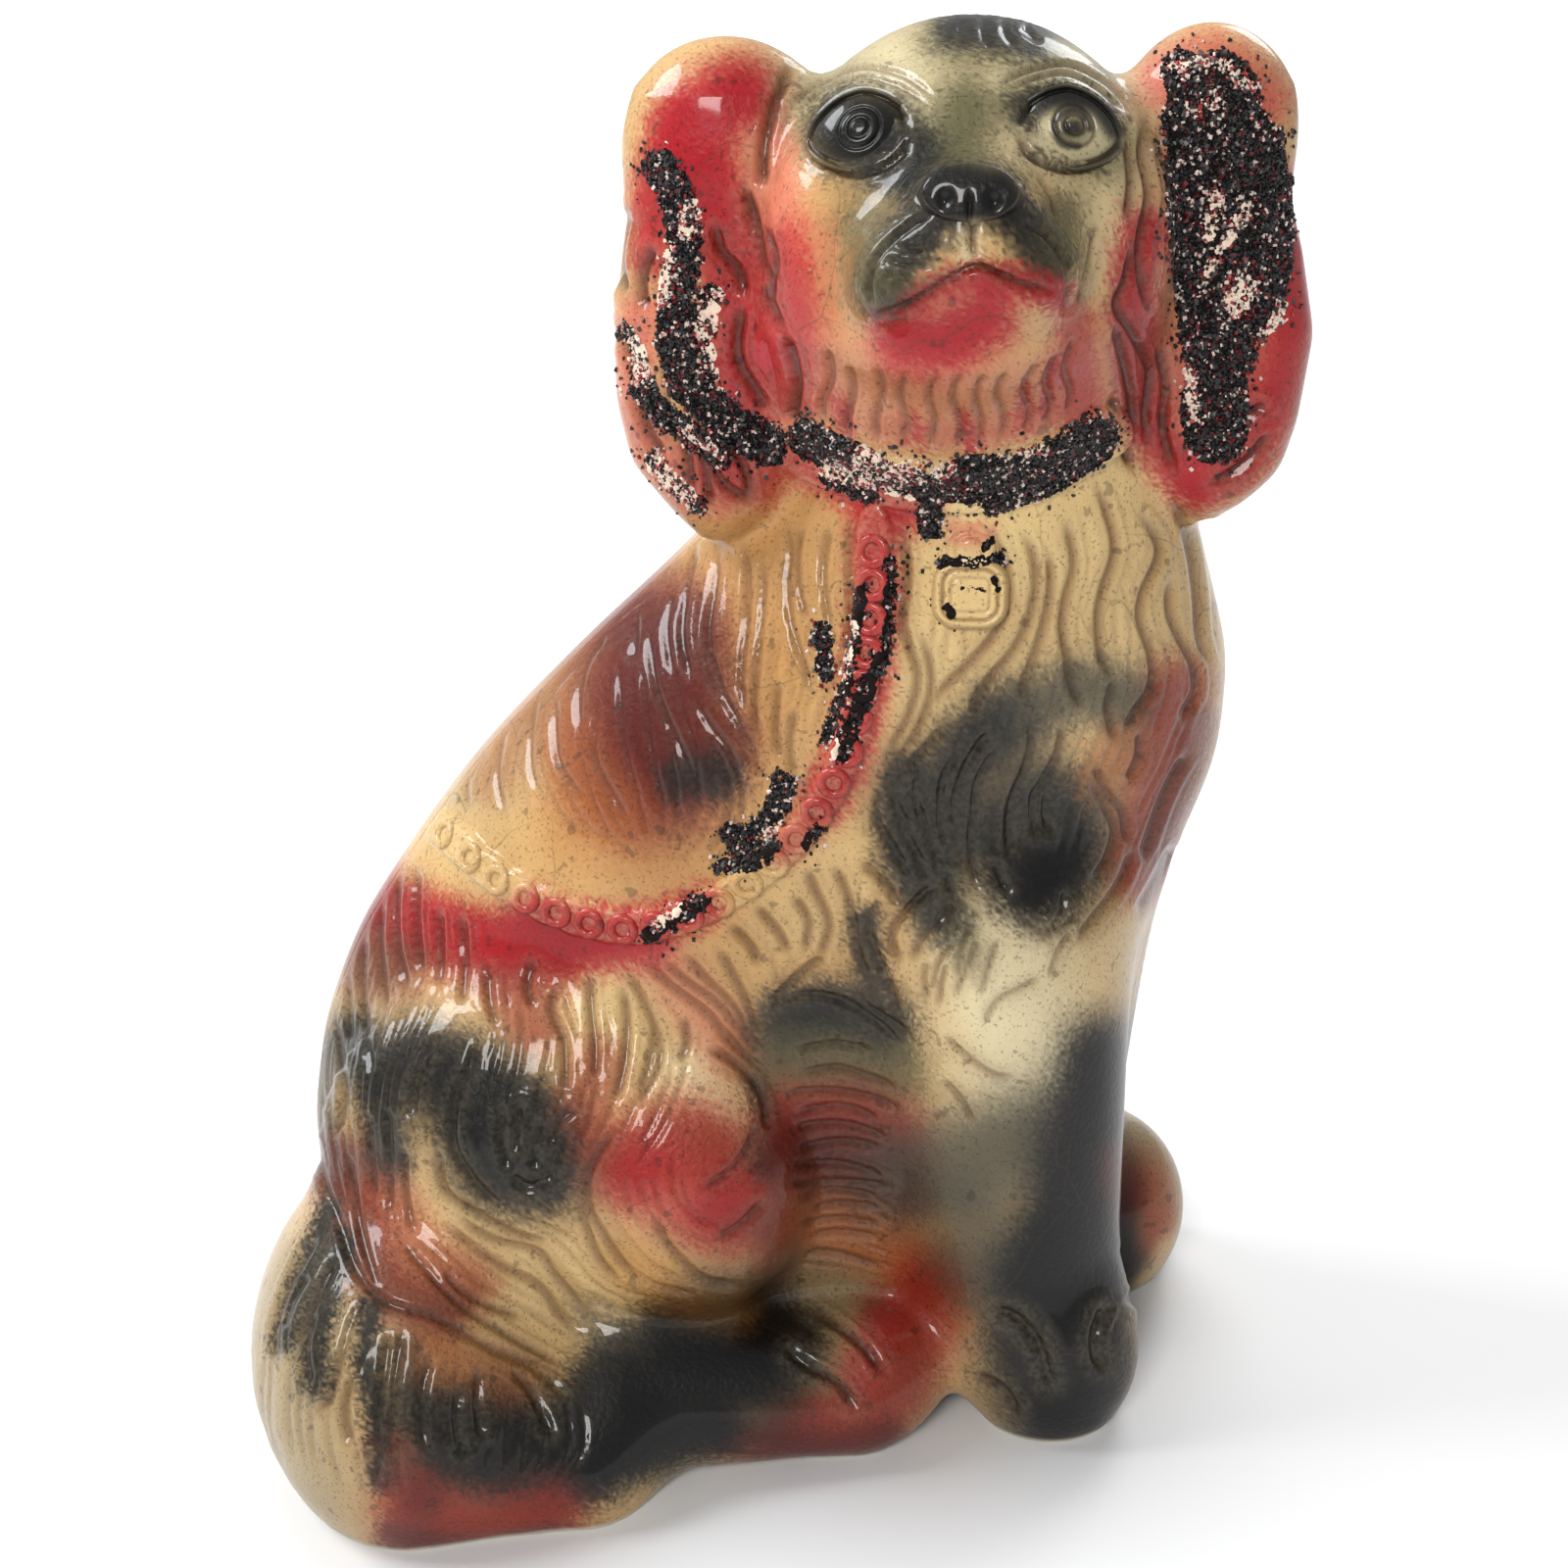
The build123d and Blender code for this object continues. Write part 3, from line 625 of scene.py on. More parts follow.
                   [(1200, 560), (1225, 650), (1215, 740), (1180, 820), (1150, 900)], 20, 3.2, 0.5),
        neckFall=([(735, 550), (722, 620), (735, 700), (770, 760)],
                  [(895, 540), (880, 620), (850, 690), (820, 760)], 14, 3.0, 0.4),
        bellyFall=([(770, 940), (790, 975), (795, 1010)], [(930, 860), (915, 920), (905, 985)], 12, 3.0, 0.5),
        tailFall=([(300, 1270), (270, 1350), (262, 1440), (285, 1510)],
                  [(440, 1360), (420, 1430), (405, 1490), (420, 1560)], 10, 3.6, 0.45),
        brushFall=([(470, 1390), (455, 1450), (465, 1520)], [(590, 1420), (600, 1470), (570, 1530)], 8, 3.4, 0.4),
        nearEarFall=([(660, 330), (665, 400), (690, 480), (700, 525)],
                     [(790, 330), (800, 400), (800, 460), (790, 510)], 10, 3.0, 0.5),
        legRidgeFill=([(805, 1068), (855, 1060), (910, 1085)], [(810, 1290), (860, 1290), (915, 1310)], 18, 2.6, 0.45),
    ),
)
random = np.random.default_rng(coat["seed"])
frontCanvas = bareCanvas()
for region in coat["regions"].values():
    for stroke in region["strokes"]:
        carve(frontCanvas, stroke, region["width"], region["depth"])
        for side, share in coat["companions"]:
            beside = sideStep(stroke, side * coat["companionSpacing"] * region["width"])
            carve(frontCanvas, beside, region["width"] * 0.62, region["depth"] * share)
for first, last, count, width, depth in coat["strands"].values():
    for strand in lockFamily(first, last, count, 1.1, random):
        carve(frontCanvas, strand, width, depth)
print("coat carved")

# The moulded collar and the twisted ribbon that carries the chain
collarBand = dict(
    path=[(806, 452), (850, 474), (915, 492), (985, 497), (1050, 486), (1100, 458), (1128, 440)],
    halfWidth=26.0, rise=1.3, edge=5.0,
)
chainRibbon = dict(
    path=[(893, 528), (892, 600), (882, 690), (862, 770), (830, 832), (780, 885), (720, 925), (655, 945),
          (590, 936), (525, 906), (472, 864), (436, 828)],
    halfWidth=17.0, rise=1.5, edge=5.0, scallop=3.2, scallopLength=34.0,
)


def raiseBand(canvas, band):
    # a raised band along a path, with edges that may be scalloped
    path = smoothPath(band["path"])
    length = np.linalg.norm(np.diff(path, axis=0), axis=1).sum()
    for window, distance, way in pathWindows(path, band["halfWidth"] + 14):
        wave = band.get("scallop", 0.0) * np.abs(np.sin(math.pi * way * length / band.get("scallopLength", 30.0)))
        half = band["halfWidth"] - band.get("scallop", 0.0) + wave
        rise = band["rise"] * smoothStep(half + band["edge"] / 2, half - band["edge"] / 2, distance)
        canvas["bands"][window] = np.maximum(canvas["bands"][window], rise)


frontCanvas["bands"] = np.zeros((canvasSize, canvasSize), np.float32)
raiseBand(frontCanvas, collarBand)
raiseBand(frontCanvas, chainRibbon)


def linear(colour):
    # screen colour to the linear colour that shaders take
    colour = np.array(colour, float)
    return np.where(colour <= 0.04045, colour / 12.92, ((colour + 0.055) / 1.055) ** 2.4)


# Airbrushed colours as they look in the picture, and the passes of the airbrush: colour, radius, strength, path. A few
# passes are painted highlight, sheen and shade rather than paint the figure has
airbrush = dict(
    falloff=3.0,
    colours=dict(
        buff=(0.78, 0.65, 0.44), cream=(0.87, 0.76, 0.54), pale=(0.86, 0.82, 0.68), tan=(0.70, 0.50, 0.28),
        putty=(0.56, 0.50, 0.38), crimson=(0.62, 0.04, 0.10), pink=(0.76, 0.27, 0.26), brick=(0.50, 0.12, 0.08),
        rust=(0.55, 0.27, 0.13), oxblood=(0.32, 0.07, 0.045), black=(0.045, 0.045, 0.045),
        olive=(0.30, 0.29, 0.19), grey=(0.27, 0.26, 0.22), ochre=(0.72, 0.45, 0.15), ivory=(0.74, 0.70, 0.56),
    ),
    base="buff",
    passes=[
        ("cream", 120, 0.75, [(1090, 540), (1120, 640), (1060, 700)]),
        ("cream", 80, 0.6, [(980, 560), (960, 680)]),
        ("ivory", 90, 0.85, [(880, 60), (1000, 110), (1120, 70)]),
        ("tan", 42, 0.45, [(845, 210), (848, 340)]),
        ("pink", 34, 0.3, [(830, 250), (838, 360)]),
        ("ivory", 50, 0.6, [(1125, 180), (1120, 260)]),
        ("tan", 95, 0.7, [(790, 560), (770, 680), (740, 760)]),
        ("tan", 70, 0.6, [(600, 860), (700, 880)]),
        ("putty", 60, 0.45, [(640, 620), (560, 690), (480, 780)]),
        ("tan", 70, 0.45, [(900, 880), (830, 950), (760, 960)]),
        ("cream", 60, 0.6, [(870, 880), (820, 930)]),
        ("pale", 85, 0.85, [(1030, 970), (1045, 1090)]),
        ("cream", 60, 0.55, [(560, 1010), (640, 1010), (720, 1080)]),
        # pale pass on the knee: a painted highlight where the light catches the knee
        ("pale", 44, 0.6, [(715, 1110), (740, 1140)]),
        ("cream", 60, 0.6, [(460, 1260), (540, 1310), (600, 1330)]),
        ("putty", 80, 0.8, [(300, 1320), (280, 1430), (300, 1520)]),
        ("putty", 50, 0.5, [(345, 950), (330, 1050)]),
        ("cream", 46, 0.7, [(1185, 1290), (1200, 1250)]),
        # near ear
        ("crimson", 44, 0.92, [(752, 98), (722, 120), (715, 165), (735, 235), (762, 300), (768, 360)]),
        ("crimson", 40, 0.85, [(768, 360), (752, 425), (738, 480)]),
        ("crimson", 26, 0.75, [(690, 118), (668, 190), (664, 260)]),
        ("pink", 26, 0.6, [(655, 320), (648, 400), (668, 460), (700, 500)]),
        ("pink", 26, 0.5, [(790, 150), (800, 250), (800, 350), (812, 420)]),
        ("crimson", 24, 0.45, [(800, 250), (815, 330), (812, 400)]),
        # far ear
        ("crimson", 26, 0.9, [(1168, 235), (1158, 300), (1164, 370), (1178, 440), (1215, 490)]),
        ("crimson", 30, 0.8, [(1312, 200), (1322, 300), (1305, 400), (1268, 470), (1225, 492)]),
        ("pink", 34, 0.6, [(1190, 80), (1240, 62), (1290, 100)]),
        ("crimson", 50, 0.7, [(1240, 140), (1250, 260), (1240, 400)]),
        ("crimson", 15, 0.45, [(1146, 320), (1150, 380), (1154, 440)]),
        # chin and lips
        ("crimson", 36, 0.9, [(922, 348), (965, 350), (1005, 325)]),
        ("pink", 40, 0.35, [(860, 410), (920, 400), (1000, 410), (1090, 390)]),
        ("crimson", 15, 0.85, [(900, 322), (945, 302), (992, 280), (1040, 292), (1078, 302)]),
        ("crimson", 16, 0.3, [(900, 440), (990, 448), (1080, 425)]),
        ("crimson", 8, 0.7, [(984, 425), (992, 458)]), ("crimson", 8, 0.7, [(1074, 372), (1066, 418)]),
        ("crimson", 7, 0.6, [(1046, 398), (1042, 436)]), ("crimson", 7, 0.5, [(932, 425), (937, 452)]),
        ("crimson", 9, 0.6, [(852, 405), (866, 440)]),
        ("crimson", 24, 0.55, [(1098, 330), (1100, 380), (1108, 420)]),
        # collar and chain
        ("crimson", 26, 0.75, [(815, 465), (880, 500), (930, 520), (880, 505)]),
        ("crimson", 25, 0.9, [(893, 535), (893, 610), (882, 700), (866, 765), (842, 815)]),
        ("crimson", 20, 0.55, [(830, 835), (800, 862)]),
        ("crimson", 22, 0.92, [(715, 926), (655, 946), (590, 944), (545, 930)]),
        ("crimson", 26, 0.6, [(600, 962), (540, 960)]),
        ("crimson", 18, 0.5, [(790, 470), (780, 500)]),
        # band across the back and the haunch
        ("brick", 42, 0.9, [(372, 915), (420, 945), (480, 965), (560, 975)]),
        ("crimson", 30, 0.75, [(420, 935), (500, 962), (590, 962), (660, 965)]),
        ("oxblood", 34, 0.55, [(348, 955), (372, 985), (400, 990)]),
        ("brick", 30, 0.55, [(520, 1010), (545, 1050)]),
        ("pink", 34, 0.35, [(690, 1000), (740, 1060)]),
        # shoulder
        ("rust", 84, 0.75, [(655, 650), (630, 720), (650, 790)]),
        ("oxblood", 68, 0.97, [(668, 665), (660, 730), (685, 778)]),
        ("oxblood", 40, 0.75, [(700, 640), (710, 700), (735, 760)]),
        ("rust", 36, 0.55, [(585, 760), (600, 800), (640, 830)]),
        ("black", 26, 0.7, [(695, 795), (735, 792)]),
        ("rust", 30, 0.35, [(520, 730), (500, 790)]),
        # haunch and knee
        ("black", 50, 1.0, [(425, 1085), (470, 1100), (505, 1120), (550, 1160)]),
        ("black", 48, 1.0, [(480, 1140), (510, 1190), (550, 1195)]),
        ("black", 28, 0.9, [(362, 1060), (385, 1120), (395, 1180)]),
        ("black", 20, 0.6, [(325, 1080), (328, 1150), (340, 1200)]),
        ("oxblood", 34, 0.75, [(345, 1190), (365, 1250), (395, 1310), (450, 1340)]),
        ("brick", 30, 0.5, [(390, 1215), (430, 1270), (480, 1310)]),
        ("brick", 50, 0.85, [(640, 1185), (700, 1165), (740, 1195), (745, 1235)]),
        ("crimson", 42, 0.5, [(660, 1200), (700, 1230), (745, 1225)]),
        ("rust", 34, 0.6, [(760, 1080), (790, 1110), (800, 1180)]),
        ("brick", 30, 0.5, [(610, 1085), (590, 1140)]),
        # black pass in the gap between knee and leg: painted shade
        ("black", 16, 0.6, [(775, 1110), (785, 1150), (780, 1190)]),
        # front of the near leg
        ("black", 36, 0.95, [(805, 1042), (855, 1034), (900, 1048)]),
        ("olive", 40, 0.75, [(800, 1075), (860, 1085), (910, 1095)]),
        ("brick", 44, 0.9, [(815, 1150), (865, 1145), (905, 1160)]),
        ("oxblood", 44, 0.9, [(820, 1180), (870, 1195), (915, 1212)]),
        ("rust", 44, 0.75, [(820, 1255), (880, 1265), (930, 1290)]),
        # oxblood pass in the gap between knee and leg: painted shade
        ("oxblood", 26, 0.5, [(800, 1220), (790, 1260), (790, 1290)]),
        # legs and feet
        ("grey", 60, 0.8, [(1050, 1165), (980, 1190), (930, 1200)]),
        ("black", 50, 1.0, [(1126, 1085), (1112, 1150), (1092, 1230), (1062, 1290)]),
        ("black", 36, 0.9, [(1120, 1180), (1105, 1260), (1080, 1320)]),
        ("black", 64, 1.0, [(1056, 1320), (1060, 1380), (1080, 1430)]),
        ("black", 52, 1.0, [(1108, 1330), (1112, 1400), (1092, 1455)]),
        ("black", 34, 0.9, [(1132, 1180), (1136, 1280)]),
        ("grey", 36, 0.6, [(990, 1230), (1000, 1280)]),
        ("brick", 44, 0.85, [(945, 1320), (930, 1375), (895, 1430), (820, 1460)]),
        ("grey", 28, 0.5, [(965, 1285), (990, 1315)]), ("grey", 30, 0.5, [(812, 1298), (850, 1312), (885, 1330)]),
        ("oxblood", 24, 0.85, [(735, 1468), (830, 1482), (905, 1470)]),
        ("crimson", 26, 0.5, [(900, 1345), (880, 1390)]),
        ("pink", 14, 0.4, [(978, 545), (1000, 545)]),
        ("black", 68, 1.0, [(650, 1430), (700, 1405), (770, 1392)]),
        ("black", 42, 0.95, [(690, 1352), (760, 1342), (805, 1365)]),
        ("black", 30, 0.7, [(630, 1380), (600, 1420), (590, 1460)]),
        ("black", 34, 0.95, [(600, 1490), (660, 1478), (725, 1458)]),
        ("brick", 26, 0.6, [(1150, 1200), (1185, 1235), (1185, 1300)]),
        ("black", 26, 0.75, [(1135, 1290), (1160, 1310)]),
        ("oxblood", 24, 0.6, [(1140, 1180), (1150, 1230)]),
        ("cream", 20, 0.75, [(1196, 1296), (1176, 1325)]),
        # chest
        ("black", 42, 0.95, [(1020, 740), (985, 775), (965, 820), (950, 880)]),
        ("black", 54, 1.0, [(1065, 825), (1085, 860), (1070, 895)]),
        ("grey", 36, 0.8, [(1155, 715), (1100, 705), (1050, 725)]),
        ("black", 30, 0.92, [(925, 800), (922, 850), (942, 900), (962, 935)]),
        ("black", 34, 0.95, [(1010, 850), (1030, 890), (1045, 905)]),
        ("black", 18, 0.75, [(882, 940), (885, 975), (895, 1000)]),
        ("brick", 34, 0.75, [(1205, 700), (1190, 760), (1175, 830), (1165, 890)]),
        ("oxblood", 20, 0.55, [(1225, 740), (1205, 810), (1180, 870)]),
        ("rust", 26, 0.5, [(1140, 760), (1120, 800)]),
        ("olive", 22, 0.4, [(950, 905), (980, 950), (990, 975)]),
        # tail
        ("black", 12, 0.9, [(335, 1232), (318, 1280), (300, 1330), (286, 1372)]),
        ("black", 16, 0.9, [(350, 1268), (335, 1320), (322, 1372), (322, 1412)]),
        ("black", 15, 0.9, [(378, 1335), (374, 1390), (386, 1450), (390, 1510)]),
        ("black", 54, 1.0, [(455, 1455), (520, 1462), (575, 1478)]),
        ("black", 42, 0.9, [(470, 1492), (530, 1502), (595, 1498)]),
        ("ochre", 30, 0.4, [(640, 1290), (700, 1325), (750, 1335)]),
        # grey pass low on the haunch: painted grey-blue sheen
        ("grey", 22, 0.4, [(600, 1345), (640, 1370)]),
        ("black", 22, 0.7, [(412, 1380), (420, 1440)]),
        ("brick", 40, 0.85, [(420, 1540), (490, 1562), (560, 1545)]),
        ("oxblood", 26, 0.6, [(400, 1480), (430, 1530)]),
        ("oxblood", 18, 0.8, [(400, 1568), (480, 1586), (560, 1572)]),
        ("rust", 34, 0.5, [(440, 1385), (520, 1410)]),
        # head
        ("olive", 40, 0.9, [(855, 120), (885, 135), (930, 165)]),
        ("black", 24, 0.7, [(900, 165), (930, 180), (945, 150)]),
        ("olive", 36, 0.8, [(985, 110), (980, 140), (975, 165)]),
        ("olive", 36, 0.75, [(1050, 100), (1100, 105), (1120, 150)]),
        ("black", 16, 0.6, [(1040, 110), (1090, 96), (1130, 118)]),
        ("black", 30, 0.92, [(965, 196), (1015, 196)]),
        ("black", 32, 0.85, [(975, 205), (945, 230), (925, 250)]),
        ("black", 26, 0.85, [(930, 240), (912, 270), (900, 298)]),
        ("black", 26, 0.8, [(1020, 205), (1045, 232), (1062, 262)]),
        ("black", 18, 0.75, [(1046, 226), (1070, 240), (1080, 266)]),
        ("crimson", 16, 0.95, [(1006, 286), (1045, 288), (1078, 295)]),
        ("olive", 34, 0.75, [(885, 230), (890, 290)]),
        ("olive", 24, 0.7, [(1085, 215), (1082, 262)]),
        ("black", 27, 1.0, [(975, 28), (1010, 30), (1052, 36)]),
        ("olive", 26, 0.35, [(950, 45), (1075, 50)]),
        ("pale", 10, 0.7, [(993, 235), (990, 262)]),
        ("black", 46, 0.93, [(868, 134), (890, 134)]),
        ("black", 30, 0.7, [(905, 160), (930, 172)]),
        ("ivory", 32, 0.9, [(1068, 140), (1114, 138)]),
        ("olive", 16, 0.7, [(1091, 131), (1097, 131)]),
        ("black", 4, 0.6, [(1112, 131), (1105, 116), (1093, 112), (1080, 119), (1076, 133), (1084, 147), (1100, 149)]),
        ("black", 8, 0.7, [(1091, 131), (1096, 131)]),
        ("black", 11, 0.75, [(1046, 126), (1060, 107), (1086, 97), (1118, 105), (1138, 132)]),
        ("black", 6, 0.5, [(1052, 154), (1085, 171), (1120, 167), (1140, 150)]),
        ("ivory", 12, 0.6, [(1020, 80), (1086, 72), (1140, 92)]),
        ("ivory", 12, 0.5, [(815, 104), (850, 80), (890, 72), (940, 92)]),
        ("rust", 10, 0.35, [(1000, 270), (1035, 282)]),
    ],
)


def sprayOn(picture, colour, radius, strength, path):
    # one soft-edged pass, strongest along its path
    path = smoothPath(path, 4)
    reach = 1.9 * radius
    low = np.clip(path.min(axis=0) - reach, 0, canvasSize - 1).astype(int)
    high = np.clip(path.max(axis=0) + reach + 1, 1, canvasSize).astype(int)
    across, down = np.meshgrid(np.arange(low[0], high[0]), np.arange(low[1], high[1]))
    nearest = np.full(across.shape, 1e6)
    for start, end in zip(path, path[1:]):
        step = end - start
        along = ((across - start[0]) * step[0] + (down - start[1]) * step[1]) / max(step @ step, 1e-6)
        along = np.clip(along, 0, 1)
        away = (across - start[0] - along * step[0]) ** 2 + (down - start[1] - along * step[1]) ** 2
        nearest = np.minimum(nearest, away)
    mask = strength * np.exp(-(np.sqrt(nearest) / radius) ** airbrush["falloff"])
    window = picture[low[1]:high[1], low[0]:high[0]]
    window += (colour - window) * mask[..., None].astype(np.float32)


paintCanvas = np.ones((canvasSize, canvasSize, 3), np.float32)
paintCanvas *= np.array(airbrush["colours"][airbrush["base"]], np.float32)
for name, radius, strength, path in airbrush["passes"]:
    sprayOn(paintCanvas, np.array(airbrush["colours"][name]), radius, strength, path)
paintCanvas = linear(paintCanvas).astype(np.float32)
print("paint sprayed")

# Where the glitter lies: name of the piece, then strokes of half-width and path; worn spots are given the same way
glitterBands = dict(
    leftEarGlitter=dict(strokes=[
        (19, [(674, 170), (692, 205), (698, 250), (690, 300), (688, 350), (700, 395)]),
        (21, [(700, 330), (705, 380), (722, 410), (745, 432), (782, 455)]),
        (12, [(728, 300), (716, 345), (722, 385)]), (13, [(655, 400), (680, 425), (712, 448), (735, 465)]),
        (10, [(640, 340), (652, 370), (662, 400)]), (9, [(665, 470), (690, 495), (712, 515)]),
    ], worn=[
        (20, [(672, 262), (668, 300)]), (14, [(706, 215), (704, 235)]), (12, [(734, 300), (720, 340), (738, 388)]),
        (12, [(645, 345), (655, 380)]), (12, [(670, 475), (700, 505)]), (8, [(700, 440), (730, 460)]),
    ]),
    rightEarGlitter=dict(strokes=[
        (44, [(1242, 95), (1252, 180), (1255, 290)]), (38, [(1222, 130), (1236, 300), (1245, 360)]),
        (34, [(1278, 150), (1286, 230), (1280, 310)]), (34, [(1246, 340), (1240, 400), (1240, 440)]),
        (20, [(1205, 70), (1212, 100)]),
    ], worn=[
        (17, [(1268, 295), (1262, 308)]), (9, [(1240, 200), (1234, 240)]), (13, [(1308, 318), (1300, 345)]),
        (8, [(1272, 212), (1250, 250), (1228, 288)]), (7, [(1195, 70), (1240, 62), (1275, 90)]),
        (8, [(1212, 380), (1222, 430)]), (8, [(1215, 110), (1240, 104)]),
    ]),
    collarGlitter=dict(strokes=[
        (18, [(822, 446), (870, 468), (930, 488), (985, 492)]),
        (24, [(985, 488), (1040, 484), (1090, 464), (1116, 446)]),
        (13, [(950, 515), (948, 538)]), (10, [(1010, 515), (1040, 506), (1080, 490)]),
        (9, [(848, 486), (890, 505)]),
    ], worn=[
        (14, [(880, 468), (930, 478), (960, 476)]), (11, [(850, 478), (885, 492)]), (8, [(905, 500), (930, 505)]),
        (6, [(1020, 462), (1060, 455)]),
    ]),
    padlockGlitter=dict(strokes=[
        (7, [(962, 574), (990, 573), (1022, 570)]), (4, [(1004, 560), (1012, 552)]),
        (4, [(966, 620), (972, 628)]), (3, [(983, 600), (1003, 602)]), (3, [(1014, 590), (1018, 602)]),
    ], worn=[(5, [(985, 574), (1003, 573)])]),
    upperChainGlitter=dict(strokes=[
        (6, [(908, 570), (908, 620), (902, 670)]), (7, [(880, 600), (868, 680), (856, 720), (842, 755)]),
        (10, [(838, 645), (842, 685)]), (10, [(898, 672), (880, 715), (858, 770)]),
    ], worn=[(8, [(868, 640), (862, 690)]), (7, [(852, 760), (846, 775)])]),
    lowerChainGlitter=dict(strokes=[
        (13, [(800, 800), (790, 830), (765, 855)]), (8, [(735, 885), (770, 880), (790, 862)]),
        (11, [(745, 850), (756, 870)]), (10, [(716, 920), (690, 935), (665, 952)]), (6, [(835, 845), (822, 862)]),
    ], worn=[(9, [(690, 926), (672, 940)]), (6, [(800, 840), (775, 852)])]),
)


def strokeMask(strokes, softness=5.0):
    mask = np.zeros((canvasSize, canvasSize), np.float32)
    for half, path in strokes:
        for window, distance, _ in pathWindows(smoothPath(path, 4), half + softness):
            mask[window] = np.maximum(mask[window], smoothStep(half + softness, half - softness, distance))
    return mask


glitterCanvas = np.zeros((canvasSize, canvasSize), np.float32)
wornCanvas = np.zeros((canvasSize, canvasSize), np.float32)
for band in glitterBands.values():
    glitterCanvas = np.maximum(glitterCanvas, strokeMask(band["strokes"]))
    wornCanvas = np.maximum(wornCanvas, strokeMask(band["worn"]))
print("glitter laid out")


def sampled(canvas, pixels):
    # bilinear readings of a canvas
    places = np.clip(pixels, 0, canvasSize - 1.001)
    corner = places.astype(int)
    share = places - corner
    left, top = corner[:, 0], corner[:, 1]
    across, down = share[:, 0], share[:, 1]
    if canvas.ndim == 3:
        across, down = across[:, None], down[:, None]
    upper = canvas[top, left] * (1 - across) + canvas[top, left + 1] * across
    lower = canvas[top + 1, left] * (1 - across) + canvas[top + 1, left + 1] * across
    return upper * (1 - down) + lower * down


def attributeOn(mesh, name, kind, values):
    attribute = mesh.attributes.new(name, kind, "POINT")
    key = {"FLOAT_COLOR": "color", "FLOAT_VECTOR": "vector", "FLOAT": "value"}[kind]
    attribute.data.foreach_set(key, np.asarray(values, np.float32).ravel())


def dressSurface(mesh, coat, groove, ridge, glazed, glue, wornGlue):
    # all that the plaster's material reads at each point
    attributeOn(mesh, "coatPaint", "FLOAT_COLOR", np.hstack([coat, np.ones((len(coat), 1))]))
    values = dict(groove=groove, ridge=ridge, glazed=glazed, glitterGround=glue, wornGlitter=wornGlue)
    for name, value in values.items():
        attributeOn(mesh, name, "FLOAT", np.broadcast_to(value, len(coat)))


# How deep the carving goes, and where it fades out
relief = dict(
    facingFade=(-0.30, 0.0),
    ridgeRise=0.5,
    partingFade=(0.5, 5.0),
    paintFade=(-0.45, -0.15),
    sprayGrain=4.5,
    bandFullness=1.1,
    bandCalm=0.12,
    footFade=(0.0, 5.0),
    jointFade=(0.0, 4.0),
    glueFade=(0.02, 0.12),
    unevenness=0.22,
    unevennessLength=17.0,
    backUnevenness=1.6,
    # the front's unevenness ends at this row of the picture
    evenBelow=255,
    evenFade=8,
    innerWallShade=(0.78, 0.73, 0.62),
    baseChips=(0.2, 2.0),
    chipLength=9.0,
)


def unevenness(points, length, seed=3):
    # a gentle smooth swell, in place of the hand-made mould's irregularity
    waves = np.random.default_rng(seed)
    swell = np.zeros(len(points))
    for _ in range(7):
        direction = waves.normal(size=3)
        direction *= waves.uniform(0.6, 1.5) / np.linalg.norm(direction)
        swell += np.sin(points @ direction * (2 * math.pi / length) + waves.uniform(0, 6.3))
    return swell / 7


def facingCamera(points, normals):
    # 1 where the surface faces the camera squarely, below 0 where it faces away
    sight = cameraEye - points
    return np.sum(normals * sight, axis=1) / np.linalg.norm(sight, axis=1)


def lookOf(points, normals):
    # what the canvases show at points of the front: paint, groove depth and the height of the relief
    pixels = photoPixels(points)
    facing = facingCamera(points, normals)
    seen = smoothStep(*relief["facingFade"], facing)
    seen = seen * smoothStep(*relief["partingFade"], cast["partingDepth"] - points[:, 1])
    groove = sampled(frontCanvas["grooves"], pixels) * seen
    ridge = sampled(frontCanvas["ridges"], pixels) * seen * relief["ridgeRise"]
    band = sampled(frontCanvas["bands"], pixels) * seen
    # raised bands carry no locks
    calm = np.clip(1.0 - band / relief["bandFullness"], relief["bandCalm"], 1.0)
    return pixels, facing, groove * calm, ridge * calm + band


# Back of the cast: few long soft grooves, drawn in millimetres over the back seen from behind
backCoat = dict(
    pixelsPerMm=5.0, left=-130.0, top=295.0,
    guides=[
        ([(8, 226), (-10, 185), (-48, 140), (-84, 90), (-96, 30)],
         [(52, 220), (72, 160), (76, 100), (66, 40)], 19, 5.5, 0.7),
        ([(10, 272), (0, 250), (6, 226)], [(56, 272), (64, 250), (56, 226)], 8, 5.0, 0.4),
        ([(-24, 262), (-28, 235), (-20, 205)], [(-8, 262), (-6, 235), (-12, 200)], 4, 5.0, 0.5),
        ([(68, 262), (66, 235), (72, 205)], [(88, 262), (92, 235), (84, 205)], 4, 5.0, 0.5),
    ],
    strandDrift=3.0,
    jointFade=(1.0, 10.0),
    rimFade=(0.0, 6.0),
    facingFade=(0.2, 0.6),
    # where the plain colour takes over from the front's: by the way behind the joint, then by height and side
    paintReach=(1.0, 22.0),
    paintWander=6,
    wanderLength=60.0,
    headFade=(180.0, 205.0),
    footFade=(62.0, 40.0),
    tailSide=(0.0, -40.0),
)
backCanvas = bareCanvas()
backScale = backCoat["pixelsPerMm"]
for first, last, count, width, depth in backCoat["guides"]:
    guides = [[((x - backCoat["left"]) * backScale, (backCoat["top"] - z) * backScale) for x, z in guide]
              for guide in (first, last)]
    for strand in lockFamily(*guides, count, backCoat["strandDrift"], random):
        carve(backCanvas, strand, width, depth)


def backPixels(points):
    return np.stack([points[:, 0] - backCoat["left"], backCoat["top"] - points[:, 2]], axis=1) * backScale


